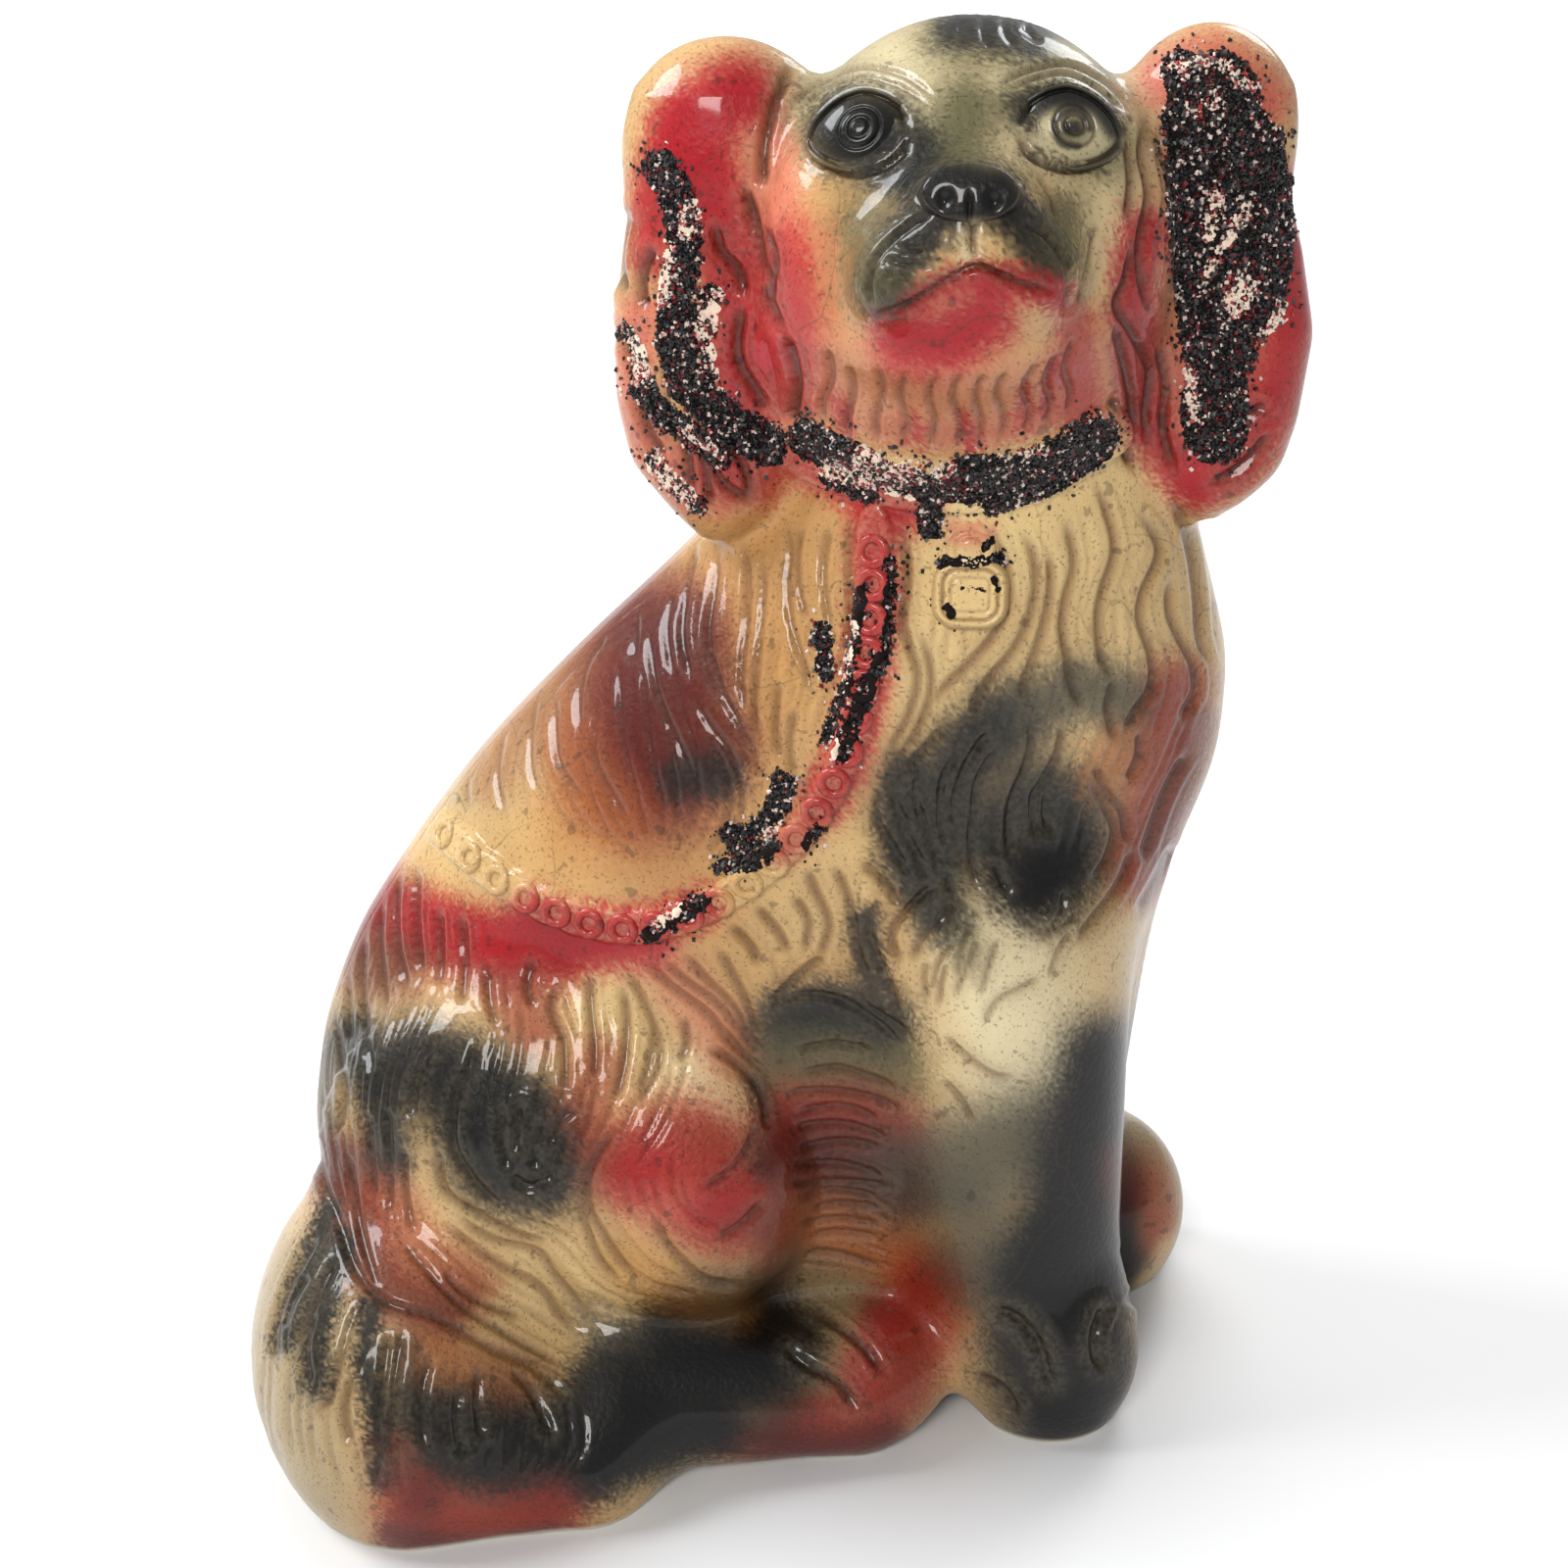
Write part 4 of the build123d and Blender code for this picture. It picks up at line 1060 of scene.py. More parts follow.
# The whole cast: an outer skin, the hollow inside it, then the cuts at the table and at the parting plane
points, quads = skinOf(castField, *cast["skinRange"], cast["voxel"])
outerMesh = finerMesh(meshOf("outer", points, quads))
setPoints(outerMesh, settle(castField, pointsOf(outerMesh)))
attributeOn(outerMesh, "outside", "FLOAT", np.ones(len(outerMesh.vertices)))
points, quads = skinOf(hollowField, *cast["hollowRange"], cast["hollowVoxel"])
innerMesh = meshOf("inner", points, np.asarray(quads)[:, ::-1])
setPoints(innerMesh, settle(hollowField, pointsOf(innerMesh)))
attributeOn(innerMesh, "outside", "FLOAT", np.zeros(len(innerMesh.vertices)))
wholeMesh = cutMesh(joinMeshes("whole", outerMesh, innerMesh), (0, 0, 0), (0, 0, -1))
print("cast skinned", len(wholeMesh.polygons))
parting = (0, cast["partingDepth"], 0)
frontMesh = cutMesh(wholeMesh, parting, (0, 1, 0))
backMesh = cutMesh(wholeMesh, parting, (0, -1, 0))
frontMesh = finerMesh(frontMesh)
print("cast cut in halves", len(frontMesh.polygons), len(backMesh.polygons))


def skinParts(mesh, points):
    # which points lie on the outer skin, and which on the rims that the cuts left
    fromJoint = np.abs(points[:, 1] - cast["partingDepth"])
    rims = (points[:, 2] < cast["rimWidth"]) | (fromJoint < cast["rimWidth"])
    return readAll(mesh.attributes["outside"].data, "value") > 0.5, rims


def carveFront(mesh):
    points = pointsOf(mesh)
    outside, rims = skinParts(mesh, points)
    movable = outside & ~rims
    points[movable] = settle(castField, points[movable], 1)
    # what settling moved past the cuts comes back to them
    points[:, 2] = np.maximum(points[:, 2], 0.0)
    points[:, 1] = np.minimum(points[:, 1], cast["partingDepth"])
    normals = np.zeros_like(points)
    normals[outside] = slopeOf(castField, points[outside])[0]
    pixels, facing, groove, height = lookOf(points, normals)
    swell = relief["unevenness"] * unevenness(points, relief["unevennessLength"])
    ground = smoothStep(*relief["footFade"], points[:, 2])
    ground = ground * smoothStep(*relief["jointFade"], cast["partingDepth"] - points[:, 1])
    swell = swell * smoothStep(0, relief["evenFade"], relief["evenBelow"] - pixels[:, 1])
    move = (height - groove + swell) * ground * movable
    grain = relief["sprayGrain"] * random.normal(size=pixels.shape)
    coat = sampled(paintCanvas, pixels + grain)
    bare = np.array(linear(relief["innerWallShade"]), np.float32)
    painted = smoothStep(*relief["paintFade"], facing)[:, None]
    plain = linear(airbrush["colours"]["putty"])
    coat = np.where(outside[:, None], coat * painted + plain * (1 - painted), bare)
    points = points + normals * move[:, None]
    chipped = points[:, 2] + 0.5 * unevenness(points, relief["chipLength"], 8)
    glazed = outside * smoothStep(*relief["baseChips"], chipped)
    setPoints(mesh, points)
    toward = outside * smoothStep(*relief["glueFade"], facing)
    dressSurface(mesh, coat, np.clip(groove * outside, 0, 2), np.clip(height * outside, 0, 2), glazed,
                 sampled(glitterCanvas, pixels) * toward, sampled(wornCanvas, pixels) * toward)
    attributeOn(mesh, "trueNormal", "FLOAT_VECTOR", readAll(mesh.vertices, "normal", 3))


def carveBack(mesh):
    points = pointsOf(mesh)
    outside, rims = skinParts(mesh, points)
    normals = np.zeros_like(points)
    normals[outside] = slopeOf(castField, points[outside])[0]
    behind = points[:, 1] - cast["partingDepth"]
    places = backPixels(points)
    fade = smoothStep(*backCoat["jointFade"], behind) * smoothStep(*backCoat["rimFade"], points[:, 2])
    fade = fade * outside * ~rims
    groove = sampled(backCanvas["grooves"], places) * smoothStep(*backCoat["facingFade"], normals[:, 1])
    height = sampled(backCanvas["ridges"], places) * relief["ridgeRise"]
    swell = relief["backUnevenness"] * relief["unevenness"] * unevenness(points, 2 * relief["unevennessLength"])
    move = (height - groove + swell) * fade
    # the front's colours run a little way round the back, where the airbrush overshot
    edge = points.copy()
    edge[:, 1] = cast["partingDepth"]
    overshot = sampled(paintCanvas, photoPixels(edge))
    wander = backCoat["paintWander"] * unevenness(points, backCoat["wanderLength"], 5)
    share = smoothStep(*backCoat["paintReach"], behind + wander)
    share = np.maximum(share, smoothStep(*backCoat["headFade"], points[:, 2]))
    beside = smoothStep(*backCoat["footFade"], points[:, 2]) * smoothStep(*backCoat["tailSide"], points[:, 0])
    share = np.maximum(share, beside)[:, None]
    plain = linear(airbrush["colours"]["putty"])
    coat = overshot * (1 - share) + plain * share
    coat = np.where(outside[:, None], coat, linear(relief["innerWallShade"]))
    setPoints(mesh, points + normals * move[:, None])
    dressSurface(mesh, coat, np.clip(groove * outside, 0, 2), np.clip(height * fade, 0, 2),
                 outside * smoothStep(*relief["baseChips"], points[:, 2]), 0.0, 0.0)
    attributeOn(mesh, "trueNormal", "FLOAT_VECTOR", readAll(mesh.vertices, "normal", 3))


carveFront(frontMesh)
carveBack(backMesh)
print("relief pressed in")


def shadeAsWhole(mesh):
    # outer faces keep the normals of the uncut skin, so that the joints between pieces don't show
    mesh.polygons.foreach_set("use_smooth", np.ones(len(mesh.polygons), bool))
    corners = readAll(mesh.loops, "vertex_index", 1, np.int32)
    counts = readAll(mesh.polygons, "loop_total", 1, np.int32)
    flat = np.repeat(readAll(mesh.polygons, "normal", 3), counts, axis=0)
    true = readAll(mesh.attributes["trueNormal"].data, "vector", 3)[corners]
    along = np.sum(flat * true, axis=1)[:, None]
    normals = np.where(along > 0.35, true, flat)
    normals /= np.maximum(np.linalg.norm(normals, axis=1), 1e-6)[:, None]
    mesh.normals_split_custom_set(normals.tolist())


def pieceOf(name, mesh, material, node):
    # a finished piece at the frame's own place and size
    setPoints(mesh, (pointsOf(mesh) + neckToFrame) * millimetre)
    mesh.materials.clear()
    mesh.materials.append(material)
    piece = bpy.data.objects.new(name, mesh)
    bpy.context.scene.collection.objects.link(piece)
    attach(piece, "root")
    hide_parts(node)
    return piece


def socketOn(group, name, kind, output=True):
    return group.interface.new_socket(name=name, in_out="OUTPUT" if output else "INPUT", socket_type=kind)


def addNode(tree, kind, **settings):
    node = tree.nodes.new(kind)
    for name, value in settings.items():
        setattr(node, name, value)
    return node


def plug(tree, source, target):
    # a socket or a plain value goes into a socket
    if isinstance(source, bpy.types.NodeSocket):
        tree.links.new(source, target)
    else:
        target.default_value = source


def calculate(tree, operation, *values, clamp=False):
    node = addNode(tree, "ShaderNodeMath", operation=operation, use_clamp=clamp)
    for value, socket in zip(values, node.inputs):
        plug(tree, value, socket)
    return node.outputs[0]


def mixColours(tree, share, one, other, blend="MIX"):
    node = addNode(tree, "ShaderNodeMix", data_type="RGBA", blend_type=blend, clamp_factor=True)
    plug(tree, share, node.inputs["Factor"])
    for value, label in ((one, "A"), (other, "B")):
        plug(tree, value, [socket for socket in node.inputs if socket.name == label and socket.type == "RGBA"][0])
    return [socket for socket in node.outputs if socket.type == "RGBA"][0]


def enabledOutput(node):
    return [socket for socket in node.outputs if socket.enabled][0]


def noiseMask(tree, place, scale, low, high, detail=3.0):
    # 0 below one noise level, 1 above another
    noise = addNode(tree, "ShaderNodeTexNoise")
    noise.inputs["Scale"].default_value = scale
    noise.inputs["Detail"].default_value = detail
    tree.links.new(place, noise.inputs["Vector"])
    spread = addNode(tree, "ShaderNodeMapRange", interpolation_type="SMOOTHSTEP")
    spread.inputs["From Min"].default_value = low
    spread.inputs["From Max"].default_value = high
    tree.links.new(noise.outputs["Fac"], spread.inputs["Value"])
    return spread.outputs["Result"]


def rgba(colour, level=1.0):
    return (*(linear(colour) * level), 1.0)


# Surface effects shared by every plaster piece; scales are per metre
finish = dict(
    pepperScale=1500.0, pepper=(0.60, 0.70), blotScale=300.0, blot=(0.655, 0.70), mottleScale=38.0,
    crazeScale=42.0, crazeWidth=0.006, crazeWarp=0.012, grainScale=900.0,
    crazePatchScale=14.0, crazePatch=(0.52, 0.62), mottle=(0.25, 0.75), grain=(0.2, 0.8),
)

# Glazed and painted plaster: the shade and the share of each effect, then the sheen and the bump
plasterLook = dict(
    mottle=((0.62, 0.50, 0.34), 0.30), amber=((0.42, 0.24, 0.08), 0.50), wornEdge=((0.90, 0.83, 0.66), 0.13),
    pepper=((0.10, 0.08, 0.06), 0.42), craze=((0.25, 0.17, 0.10), 0.32), glue=((0.09, 0.06, 0.055), 1.05),
    wornGlue=((0.88, 0.80, 0.72), 1.30), rawPlaster=((0.86, 0.83, 0.76), 0.8), rag=(620.0, 0.30, 0.70),
    raggedGlue=0.8, raggedWear=0.9,
    glazedRoughness=0.36, mottleRoughness=0.14, rawRoughness=0.85, coatRoughness=0.08, coatWeight=0.42,
    specular=0.14, bumpDistance=0.00035, bumpStrength=0.35, crazeDepth=0.8,
)


def agedSurface():
    group = bpy.data.node_groups.new("agedSurface", "ShaderNodeTree")
    for name in ("pepper", "craze", "mottle", "grain"):
        socketOn(group, name, "NodeSocketFloat")
    ends = addNode(group, "NodeGroupOutput")
    place = addNode(group, "ShaderNodeTexCoord").outputs["Object"]
    fine = noiseMask(group, place, finish["pepperScale"], *finish["pepper"], 1.0)
    blots = noiseMask(group, place, finish["blotScale"], *finish["blot"], 2.0)
    group.links.new(calculate(group, "MAXIMUM", fine, blots), ends.inputs["pepper"])
    warp = addNode(group, "ShaderNodeTexNoise")
    warp.inputs["Scale"].default_value = finish["crazeScale"]
    group.links.new(place, warp.inputs["Vector"])
    drift = addNode(group, "ShaderNodeVectorMath", operation="MULTIPLY_ADD")
    group.links.new(warp.outputs["Color"], drift.inputs[0])
    drift.inputs[1].default_value = (finish["crazeWarp"],) * 3
    group.links.new(place, drift.inputs[2])
    cells = addNode(group, "ShaderNodeTexVoronoi", feature="DISTANCE_TO_EDGE")
    cells.inputs["Scale"].default_value = finish["crazeScale"]
    group.links.new(drift.outputs[0], cells.inputs["Vector"])
    line = calculate(group, "LESS_THAN", cells.outputs["Distance"], finish["crazeWidth"])
    patches = noiseMask(group, place, finish["crazePatchScale"], *finish["crazePatch"])
    group.links.new(calculate(group, "MULTIPLY", line, patches), ends.inputs["craze"])
    group.links.new(noiseMask(group, place, finish["mottleScale"], *finish["mottle"], 5.0), ends.inputs["mottle"])
    group.links.new(noiseMask(group, place, finish["grainScale"], *finish["grain"], 4.0), ends.inputs["grain"])
    return group


agedGroup = agedSurface()


def attributeIn(tree, name, output="Fac"):
    return addNode(tree, "ShaderNodeAttribute", attribute_name=name).outputs[output]


def tinted(tree, shade, effect, mask, blend="MIX"):
    # lays one of the look's tints over a shade where its mask is strong
    tint, share = plasterLook[effect]
    return mixColours(tree, calculate(tree, "MULTIPLY", mask, share, clamp=True), shade, rgba(tint), blend)


def plasterMaterial():
    material = bpy.data.materials.new("paintedPlaster")
    material.use_nodes = True
    tree = material.node_tree
    shader = tree.nodes["Principled BSDF"]
    aged = addNode(tree, "ShaderNodeGroup", node_tree=agedGroup).outputs
    place = addNode(tree, "ShaderNodeTexCoord").outputs["Object"]
    groove, ridge, glazed = [attributeIn(tree, name) for name in ("groove", "ridge", "glazed")]
    # the paint pools brown in the grooves and wears off the ridges
    shade = tinted(tree, attributeIn(tree, "coatPaint", "Color"), "mottle", aged["mottle"], "MULTIPLY")
    shade = tinted(tree, shade, "amber", groove, "MULTIPLY")
    shade = tinted(tree, shade, "wornEdge", calculate(tree, "MULTIPLY", ridge, aged["grain"]))
    shade = tinted(tree, shade, "pepper", aged["pepper"])
    shade = tinted(tree, shade, "craze", aged["craze"])
    # under the glitter: ragged black glue, white plaster where it has worn off
    rag = noiseMask(tree, place, *plasterLook["rag"], 5.0)
    glueTint, glueLevel = plasterLook["glue"]
    ragged = calculate(tree, "MULTIPLY", rag, plasterLook["raggedGlue"])
    ground = calculate(tree, "ADD", attributeIn(tree, "glitterGround"), ragged)
    ground = calculate(tree, "GREATER_THAN", ground, glueLevel)
    shade = mixColours(tree, ground, shade, rgba(glueTint))
    wornTint, wornLevel = plasterLook["wornGlue"]
    ragged = calculate(tree, "MULTIPLY", rag, plasterLook["raggedWear"])
    worn = calculate(tree, "ADD", attributeIn(tree, "wornGlitter"), ragged)
    worn = calculate(tree, "MULTIPLY", calculate(tree, "GREATER_THAN", worn, wornLevel), ground)
    shade = mixColours(tree, worn, shade, rgba(wornTint))
    bare = calculate(tree, "SUBTRACT", 1.0, glazed)
    tree.links.new(mixColours(tree, bare, shade, rgba(*plasterLook["rawPlaster"])), shader.inputs["Base Color"])
    dullness = calculate(tree, "MULTIPLY_ADD", aged["mottle"], plasterLook["mottleRoughness"],
                         plasterLook["glazedRoughness"])
    bareness = calculate(tree, "MAXIMUM", bare, ground)
    rough = addNode(tree, "ShaderNodeMix", data_type="FLOAT")
    for value, label in ((bareness, "Factor"), (dullness, "A"), (plasterLook["rawRoughness"], "B")):
        plug(tree, value, rough.inputs[label])
    tree.links.new(rough.outputs[0], shader.inputs["Roughness"])
    coat = calculate(tree, "MULTIPLY", calculate(tree, "SUBTRACT", 1.0, bareness), plasterLook["coatWeight"])
    tree.links.new(coat, shader.inputs["Coat Weight"])
    shader.inputs["Coat Roughness"].default_value = plasterLook["coatRoughness"]
    shader.inputs["Specular IOR Level"].default_value = plasterLook["specular"]
    bump = addNode(tree, "ShaderNodeBump")
    bump.inputs["Distance"].default_value = plasterLook["bumpDistance"]
    bump.inputs["Strength"].default_value = plasterLook["bumpStrength"]
    cracks = calculate(tree, "MULTIPLY", aged["craze"], plasterLook["crazeDepth"])
    tree.links.new(calculate(tree, "SUBTRACT", aged["grain"], cracks), bump.inputs["Height"])
    tree.links.new(bump.outputs["Normal"], shader.inputs["Normal"])
    return material


plaster = plasterMaterial()

# The front, shared out among closed pieces by height
for name, (low, high) in cast["frontPieces"].items():
    mesh = frontMesh
    if low > 0:
        mesh = cutMesh(mesh, (0, 0, low), (0, 0, -1))
    if high < cast["crown"]:
        mesh = cutMesh(mesh, (0, 0, high), (0, 0, 1))
    if mesh is frontMesh:
        mesh = frontMesh.copy()
    shadeAsWhole(mesh)
    piece = pieceOf(name, mesh, plaster, "front_cast_half")
shadeAsWhole(backMesh)
backPiece = pieceOf("backCast", backMesh, plaster, "back_cast_half")
print("cast in place")


def smallPiece(name, mesh, groove, ridge, node):
    # a moulded detail of its own, in the colours that the airbrush left there
    pixels = photoPixels(pointsOf(mesh))
    dressSurface(mesh, sampled(paintCanvas, pixels), groove, ridge, 1.0, sampled(glitterCanvas, pixels),
                 sampled(wornCanvas, pixels))
    mesh.shade_smooth()
    piece = pieceOf(name, mesh, plaster, node)


def reliefPiece(name, pixel, halfWidth, halfHeight, step, heightAt, node, sink=2.5, lean=0.5):
    # a finely modelled closed patch seated on the cast; heightAt takes places across it in millimetres
    spot, normal = [values[0] for values in onCast([pixel])]
    towardCamera = (cameraEye - spot) / np.linalg.norm(cameraEye - spot)
    outward = normal * (1 - lean) + towardCamera * lean
    outward /= np.linalg.norm(outward)
    across = np.cross(outward, np.array([0.0, 0.0, -1.0]))
    across /= np.linalg.norm(across)
    if across[0] < 0:
        across = -across
    upward = np.cross(outward, across)
    upward = upward if upward[2] > 0 else -upward
    columns, rows = int(2 * halfWidth / step) + 1, int(2 * halfHeight / step) + 1
    u, v = np.meshgrid(np.linspace(-halfWidth, halfWidth, columns), np.linspace(-halfHeight, halfHeight, rows))
    height, groove, inside = heightAt(u.ravel(), v.ravel())
    top = spot + u.ravel()[:, None] * across + v.ravel()[:, None] * upward + height[:, None] * outward
    under = spot + u.ravel()[:, None] * across + v.ravel()[:, None] * upward
    under = under + (np.minimum(height, 0.0) - sink)[:, None] * outward
    index = np.arange(columns * rows).reshape(rows, columns)
    faces = np.stack([index[:-1, :-1], index[:-1, 1:], index[1:, 1:], index[1:, :-1]], axis=-1).reshape(-1, 4)
    faces = faces[inside[faces].all(axis=1)]
    shift = columns * rows
    edges = np.vstack([np.stack([faces[:, side], faces[:, (side + 1) % 4]], axis=1) for side in range(4)])
    paired = np.isin(edges[:, 0] * shift + edges[:, 1], edges[:, 1] * shift + edges[:, 0])
    rim = edges[~paired]
    walls = np.stack([rim[:, 1], rim[:, 0], rim[:, 0] + shift, rim[:, 1] + shift], axis=1)
    faces = np.vstack([faces, faces[:, ::-1] + shift, walls])
    if np.dot(np.cross(across, upward), outward) < 0:
        faces = faces[:, ::-1]
    used, compact = np.unique(faces, return_inverse=True)
    mesh = meshOf(name, np.vstack([top, under])[used], compact.reshape(-1, 4))
    groove = np.concatenate([groove, np.zeros(shift)])[used]
    smallPiece(name, mesh, groove, 0.0, node)


def bell(value, width):
    return np.exp(-(value / width) ** 2)


# Eyeballs with two pressed rings, within almond-shaped lids; sizes in millimetres
eyeball = dict(
    halfWidth=9.6, halfHeight=7.4, radius=10.5, rise=2.5, ringRadii=(3.3, 1.6), ringWidth=0.34, ringDepth=0.38,
    outlineWidth=9.2, outlineHeight=6.5, almond=1.55, lidRise=0.9, irisSide=0.3, margin=1.6, step=0.16,
    # shares of the almond's size at which the lid, the crease and the painted line run, and where the edge sinks in
    lidAt=1.04, lidWidth=0.075, creaseAt=0.92, creaseWidth=0.045, creaseDepth=0.5, lineAt=0.93, lineWidth=0.07,
    ballEdge=0.95, sinking=(1.06, 1.22), sunk=4.5, cutAt=1.2, darkening=1.3, darkest=1.6,
)


def eyeHeight(u, v, slant):
    v = v - slant * u
    away = np.hypot(u, v)
    dome = np.sqrt(np.maximum(eyeball["radius"] ** 2 - away ** 2, 1.0)) - eyeball["radius"] + eyeball["rise"]
    rings = sum(bell(np.hypot(u - eyeball["irisSide"], v) - radius, eyeball["ringWidth"])
                for radius in eyeball["ringRadii"])
    almond = eyeball["almond"]
    sideways, upward = np.abs(u / eyeball["outlineWidth"]), np.abs(v / eyeball["outlineHeight"])
    edge = (sideways ** almond + upward ** almond) ** (1 / almond)
    lid = eyeball["lidRise"] * bell(edge - eyeball["lidAt"], eyeball["lidWidth"])
    crease = eyeball["creaseDepth"] * bell(edge - eyeball["creaseAt"], eyeball["creaseWidth"])
    height = dome - eyeball["ringDepth"] * rings + lid - crease
    outside = smoothStep(*eyeball["sinking"], edge)
    height = height * (1 - outside) - eyeball["sunk"] * outside
    line = eyeball["darkening"] * bell(edge - eyeball["lineAt"], eyeball["lineWidth"])
    groove = eyeball["darkening"] * rings * (edge < eyeball["ballEdge"]) + line
    return height, np.clip(groove, 0, eyeball["darkest"]), edge < eyeball["cutAt"]


# Nose: an oval button with two nostrils and a parting below
noseButton = dict(
    pixel=(990, 197), halfWidth=8.6, halfHeight=6.0, step=0.18, outline=(7.4, 4.6), rise=1.8, fullness=1.15,
    nostrils=((-3.9, -1.5), (3.7, -1.6)), nostrilRadius=1.15, nostrilDepth=1.0, nostrilOval=0.8,
    partingWidth=0.5, partingDepth=0.7, partingFrom=(0.5, -2.5), sinking=(0.98, 1.2), sunk=5.0, cutAt=1.14,
    nostrilDark=1.2, partingDark=0.8, darkest=1.6,
)


def noseHeight(u, v):
    edge = np.sqrt((u / noseButton["outline"][0]) ** 2 + (v / noseButton["outline"][1]) ** 2)
    height = noseButton["rise"] * np.sqrt(np.maximum(noseButton["fullness"] - edge ** 2, 0.0))
    pits = sum(bell(np.hypot(u - x, noseButton["nostrilOval"] * (v - y)), noseButton["nostrilRadius"])
               for x, y in noseButton["nostrils"])
    parting = bell(u, noseButton["partingWidth"]) * smoothStep(*noseButton["partingFrom"], v)
    height = height - noseButton["nostrilDepth"] * pits - noseButton["partingDepth"] * parting
    outside = smoothStep(*noseButton["sinking"], edge)
    height = height * (1 - outside) - noseButton["sunk"] * outside
    groove = noseButton["nostrilDark"] * pits + noseButton["partingDark"] * parting
    return height, np.clip(groove, 0, noseButton["darkest"]), edge < noseButton["cutAt"]


# Padlock: a round-bottomed body with a line round it, and a domed shackle
padlock = dict(
    pixel=(990, 603), halfWidth=8.2, halfHeight=13.2, step=0.2, bodyHalf=(6.4, 6.0), bodyDrop=0.5, cornerRadius=4.2,
    rise=1.6, edgeSlope=0.7, lineInset=1.5, lineWidth=0.36, lineDepth=0.5, innerInset=1.5, innerWidth=0.3,
    innerShare=0.5, shackleAt=(-0.2, 7.6), shackleHalf=(4.6, 4.0), shackleRise=1.9,
    # the pressed ring of the shackle, at a share of its size
    ringAt=0.55, ringWidth=0.1, ringDepth=0.5, sinking=(0.3, 1.1), sunk=4.5, cutAt=0.98,
    shadowAt=0.2, shadowWidth=0.6, lineDark=1.1, shadowDark=0.8, darkest=1.5,
)


def padlockHeight(u, v):
    radius = padlock["cornerRadius"]
    sideways = np.maximum(np.abs(u) - padlock["bodyHalf"][0] + radius, 0)
    upward = np.maximum(np.abs(v + padlock["bodyDrop"]) - padlock["bodyHalf"][1] + radius, 0)
    body = np.hypot(sideways, upward) - radius
    flat = padlock["rise"] * smoothStep(padlock["edgeSlope"], -padlock["edgeSlope"], body)
    line = bell(body + padlock["lineInset"], padlock["lineWidth"])
    inner = bell(body + padlock["lineInset"] + padlock["innerInset"], padlock["innerWidth"]) * padlock["innerShare"]
    lobe = np.hypot((u - padlock["shackleAt"][0]) / padlock["shackleHalf"][0],
                    (v - padlock["shackleAt"][1]) / padlock["shackleHalf"][1])
    dome = padlock["shackleRise"] * np.sqrt(np.maximum(1.0 - lobe ** 2, 0.0))
    dome = dome - padlock["ringDepth"] * bell(lobe - padlock["ringAt"], padlock["ringWidth"]) * (lobe < 1)
    height = np.maximum(flat - padlock["lineDepth"] * (line + inner), dome)
    away = np.minimum(body, (lobe - 1.0) * padlock["shackleHalf"][1])
    outside = smoothStep(*padlock["sinking"], away)
    height = height * (1 - outside) - padlock["sunk"] * outside
    around = bell(away - padlock["shadowAt"], padlock["shadowWidth"])
    groove = padlock["lineDark"] * line + inner + padlock["shadowDark"] * around
    return height, np.clip(groove, 0, padlock["darkest"]), outside < padlock["cutAt"]


# each eye: the pixel of its middle and the slant of its corners
eyes = dict(leftEye=((877, 134), 0.11), rightEye=((1092, 131), -0.12))
for name, (pixel, slant) in eyes.items():
    reliefPiece(name, pixel, eyeball["halfWidth"] + eyeball["margin"], eyeball["halfHeight"] + eyeball["margin"],
                eyeball["step"], lambda u, v: eyeHeight(u, v, slant), "front_cast_half")
for name, sizes, heightAt in (("noseButton", noseButton, noseHeight), ("padlock", padlock, padlockHeight)):
    reliefPiece(name, sizes["pixel"], sizes["halfWidth"], sizes["halfHeight"], sizes["step"], heightAt,
                "front_cast_half")
print("eyes, nose and padlock modelled")


def patternTree(name, inputs):
    # a geometry node tree with named inputs; gives the tree, its input sockets by name and its output
    tree = bpy.data.node_groups.new(name, "GeometryNodeTree")
    socketOn(tree, "Mesh", "NodeSocketGeometry", False)
    for label, kind in inputs.items():
        socketOn(tree, label, kind, False)
    socketOn(tree, "Mesh", "NodeSocketGeometry")
    return tree, addNode(tree, "NodeGroupInput").outputs, addNode(tree, "NodeGroupOutput").inputs[0]


def finishTree(tree, copies, given, out):
    # the copies become real faces with their material
    real = addNode(tree, "GeometryNodeRealizeInstances")
    tree.links.new(copies.outputs["Instances"], real.inputs["Geometry"])
    dress = addNode(tree, "GeometryNodeSetMaterial")
    tree.links.new(real.outputs["Geometry"], dress.inputs["Geometry"])
    tree.links.new(given["Material"], dress.inputs["Material"])
    tree.links.new(dress.outputs["Geometry"], out)
    return tree


def namedField(tree, name, kind="FLOAT"):
    field = addNode(tree, "GeometryNodeInputNamedAttribute", data_type=kind)
    field.inputs["Name"].default_value = name
    return field.outputs["Attribute"]


def grown(name, mesh, tree, values):
    # the mesh that a node tree grows from a host mesh
    host = bpy.data.objects.new(name, mesh)
    bpy.context.scene.collection.objects.link(host)
    modifier = host.modifiers.new("pattern", "NODES")
    modifier.node_group = tree
    for item in tree.interface.items_tree:
        if item.in_out == "INPUT" and item.name in values:
            modifier[item.identifier] = values[item.name]
    result = bpy.data.meshes.new_from_object(host.evaluated_get(bpy.context.evaluated_depsgraph_get()))
    bpy.data.objects.remove(host)
    return result


# Moulded rings of the chain, half sunk in its ribbon
chain = dict(count=24, ring=2.3, ringSides=28, bar=0.95, barSides=12, lift=0.6, wear=0.6, offSkin=0.5)


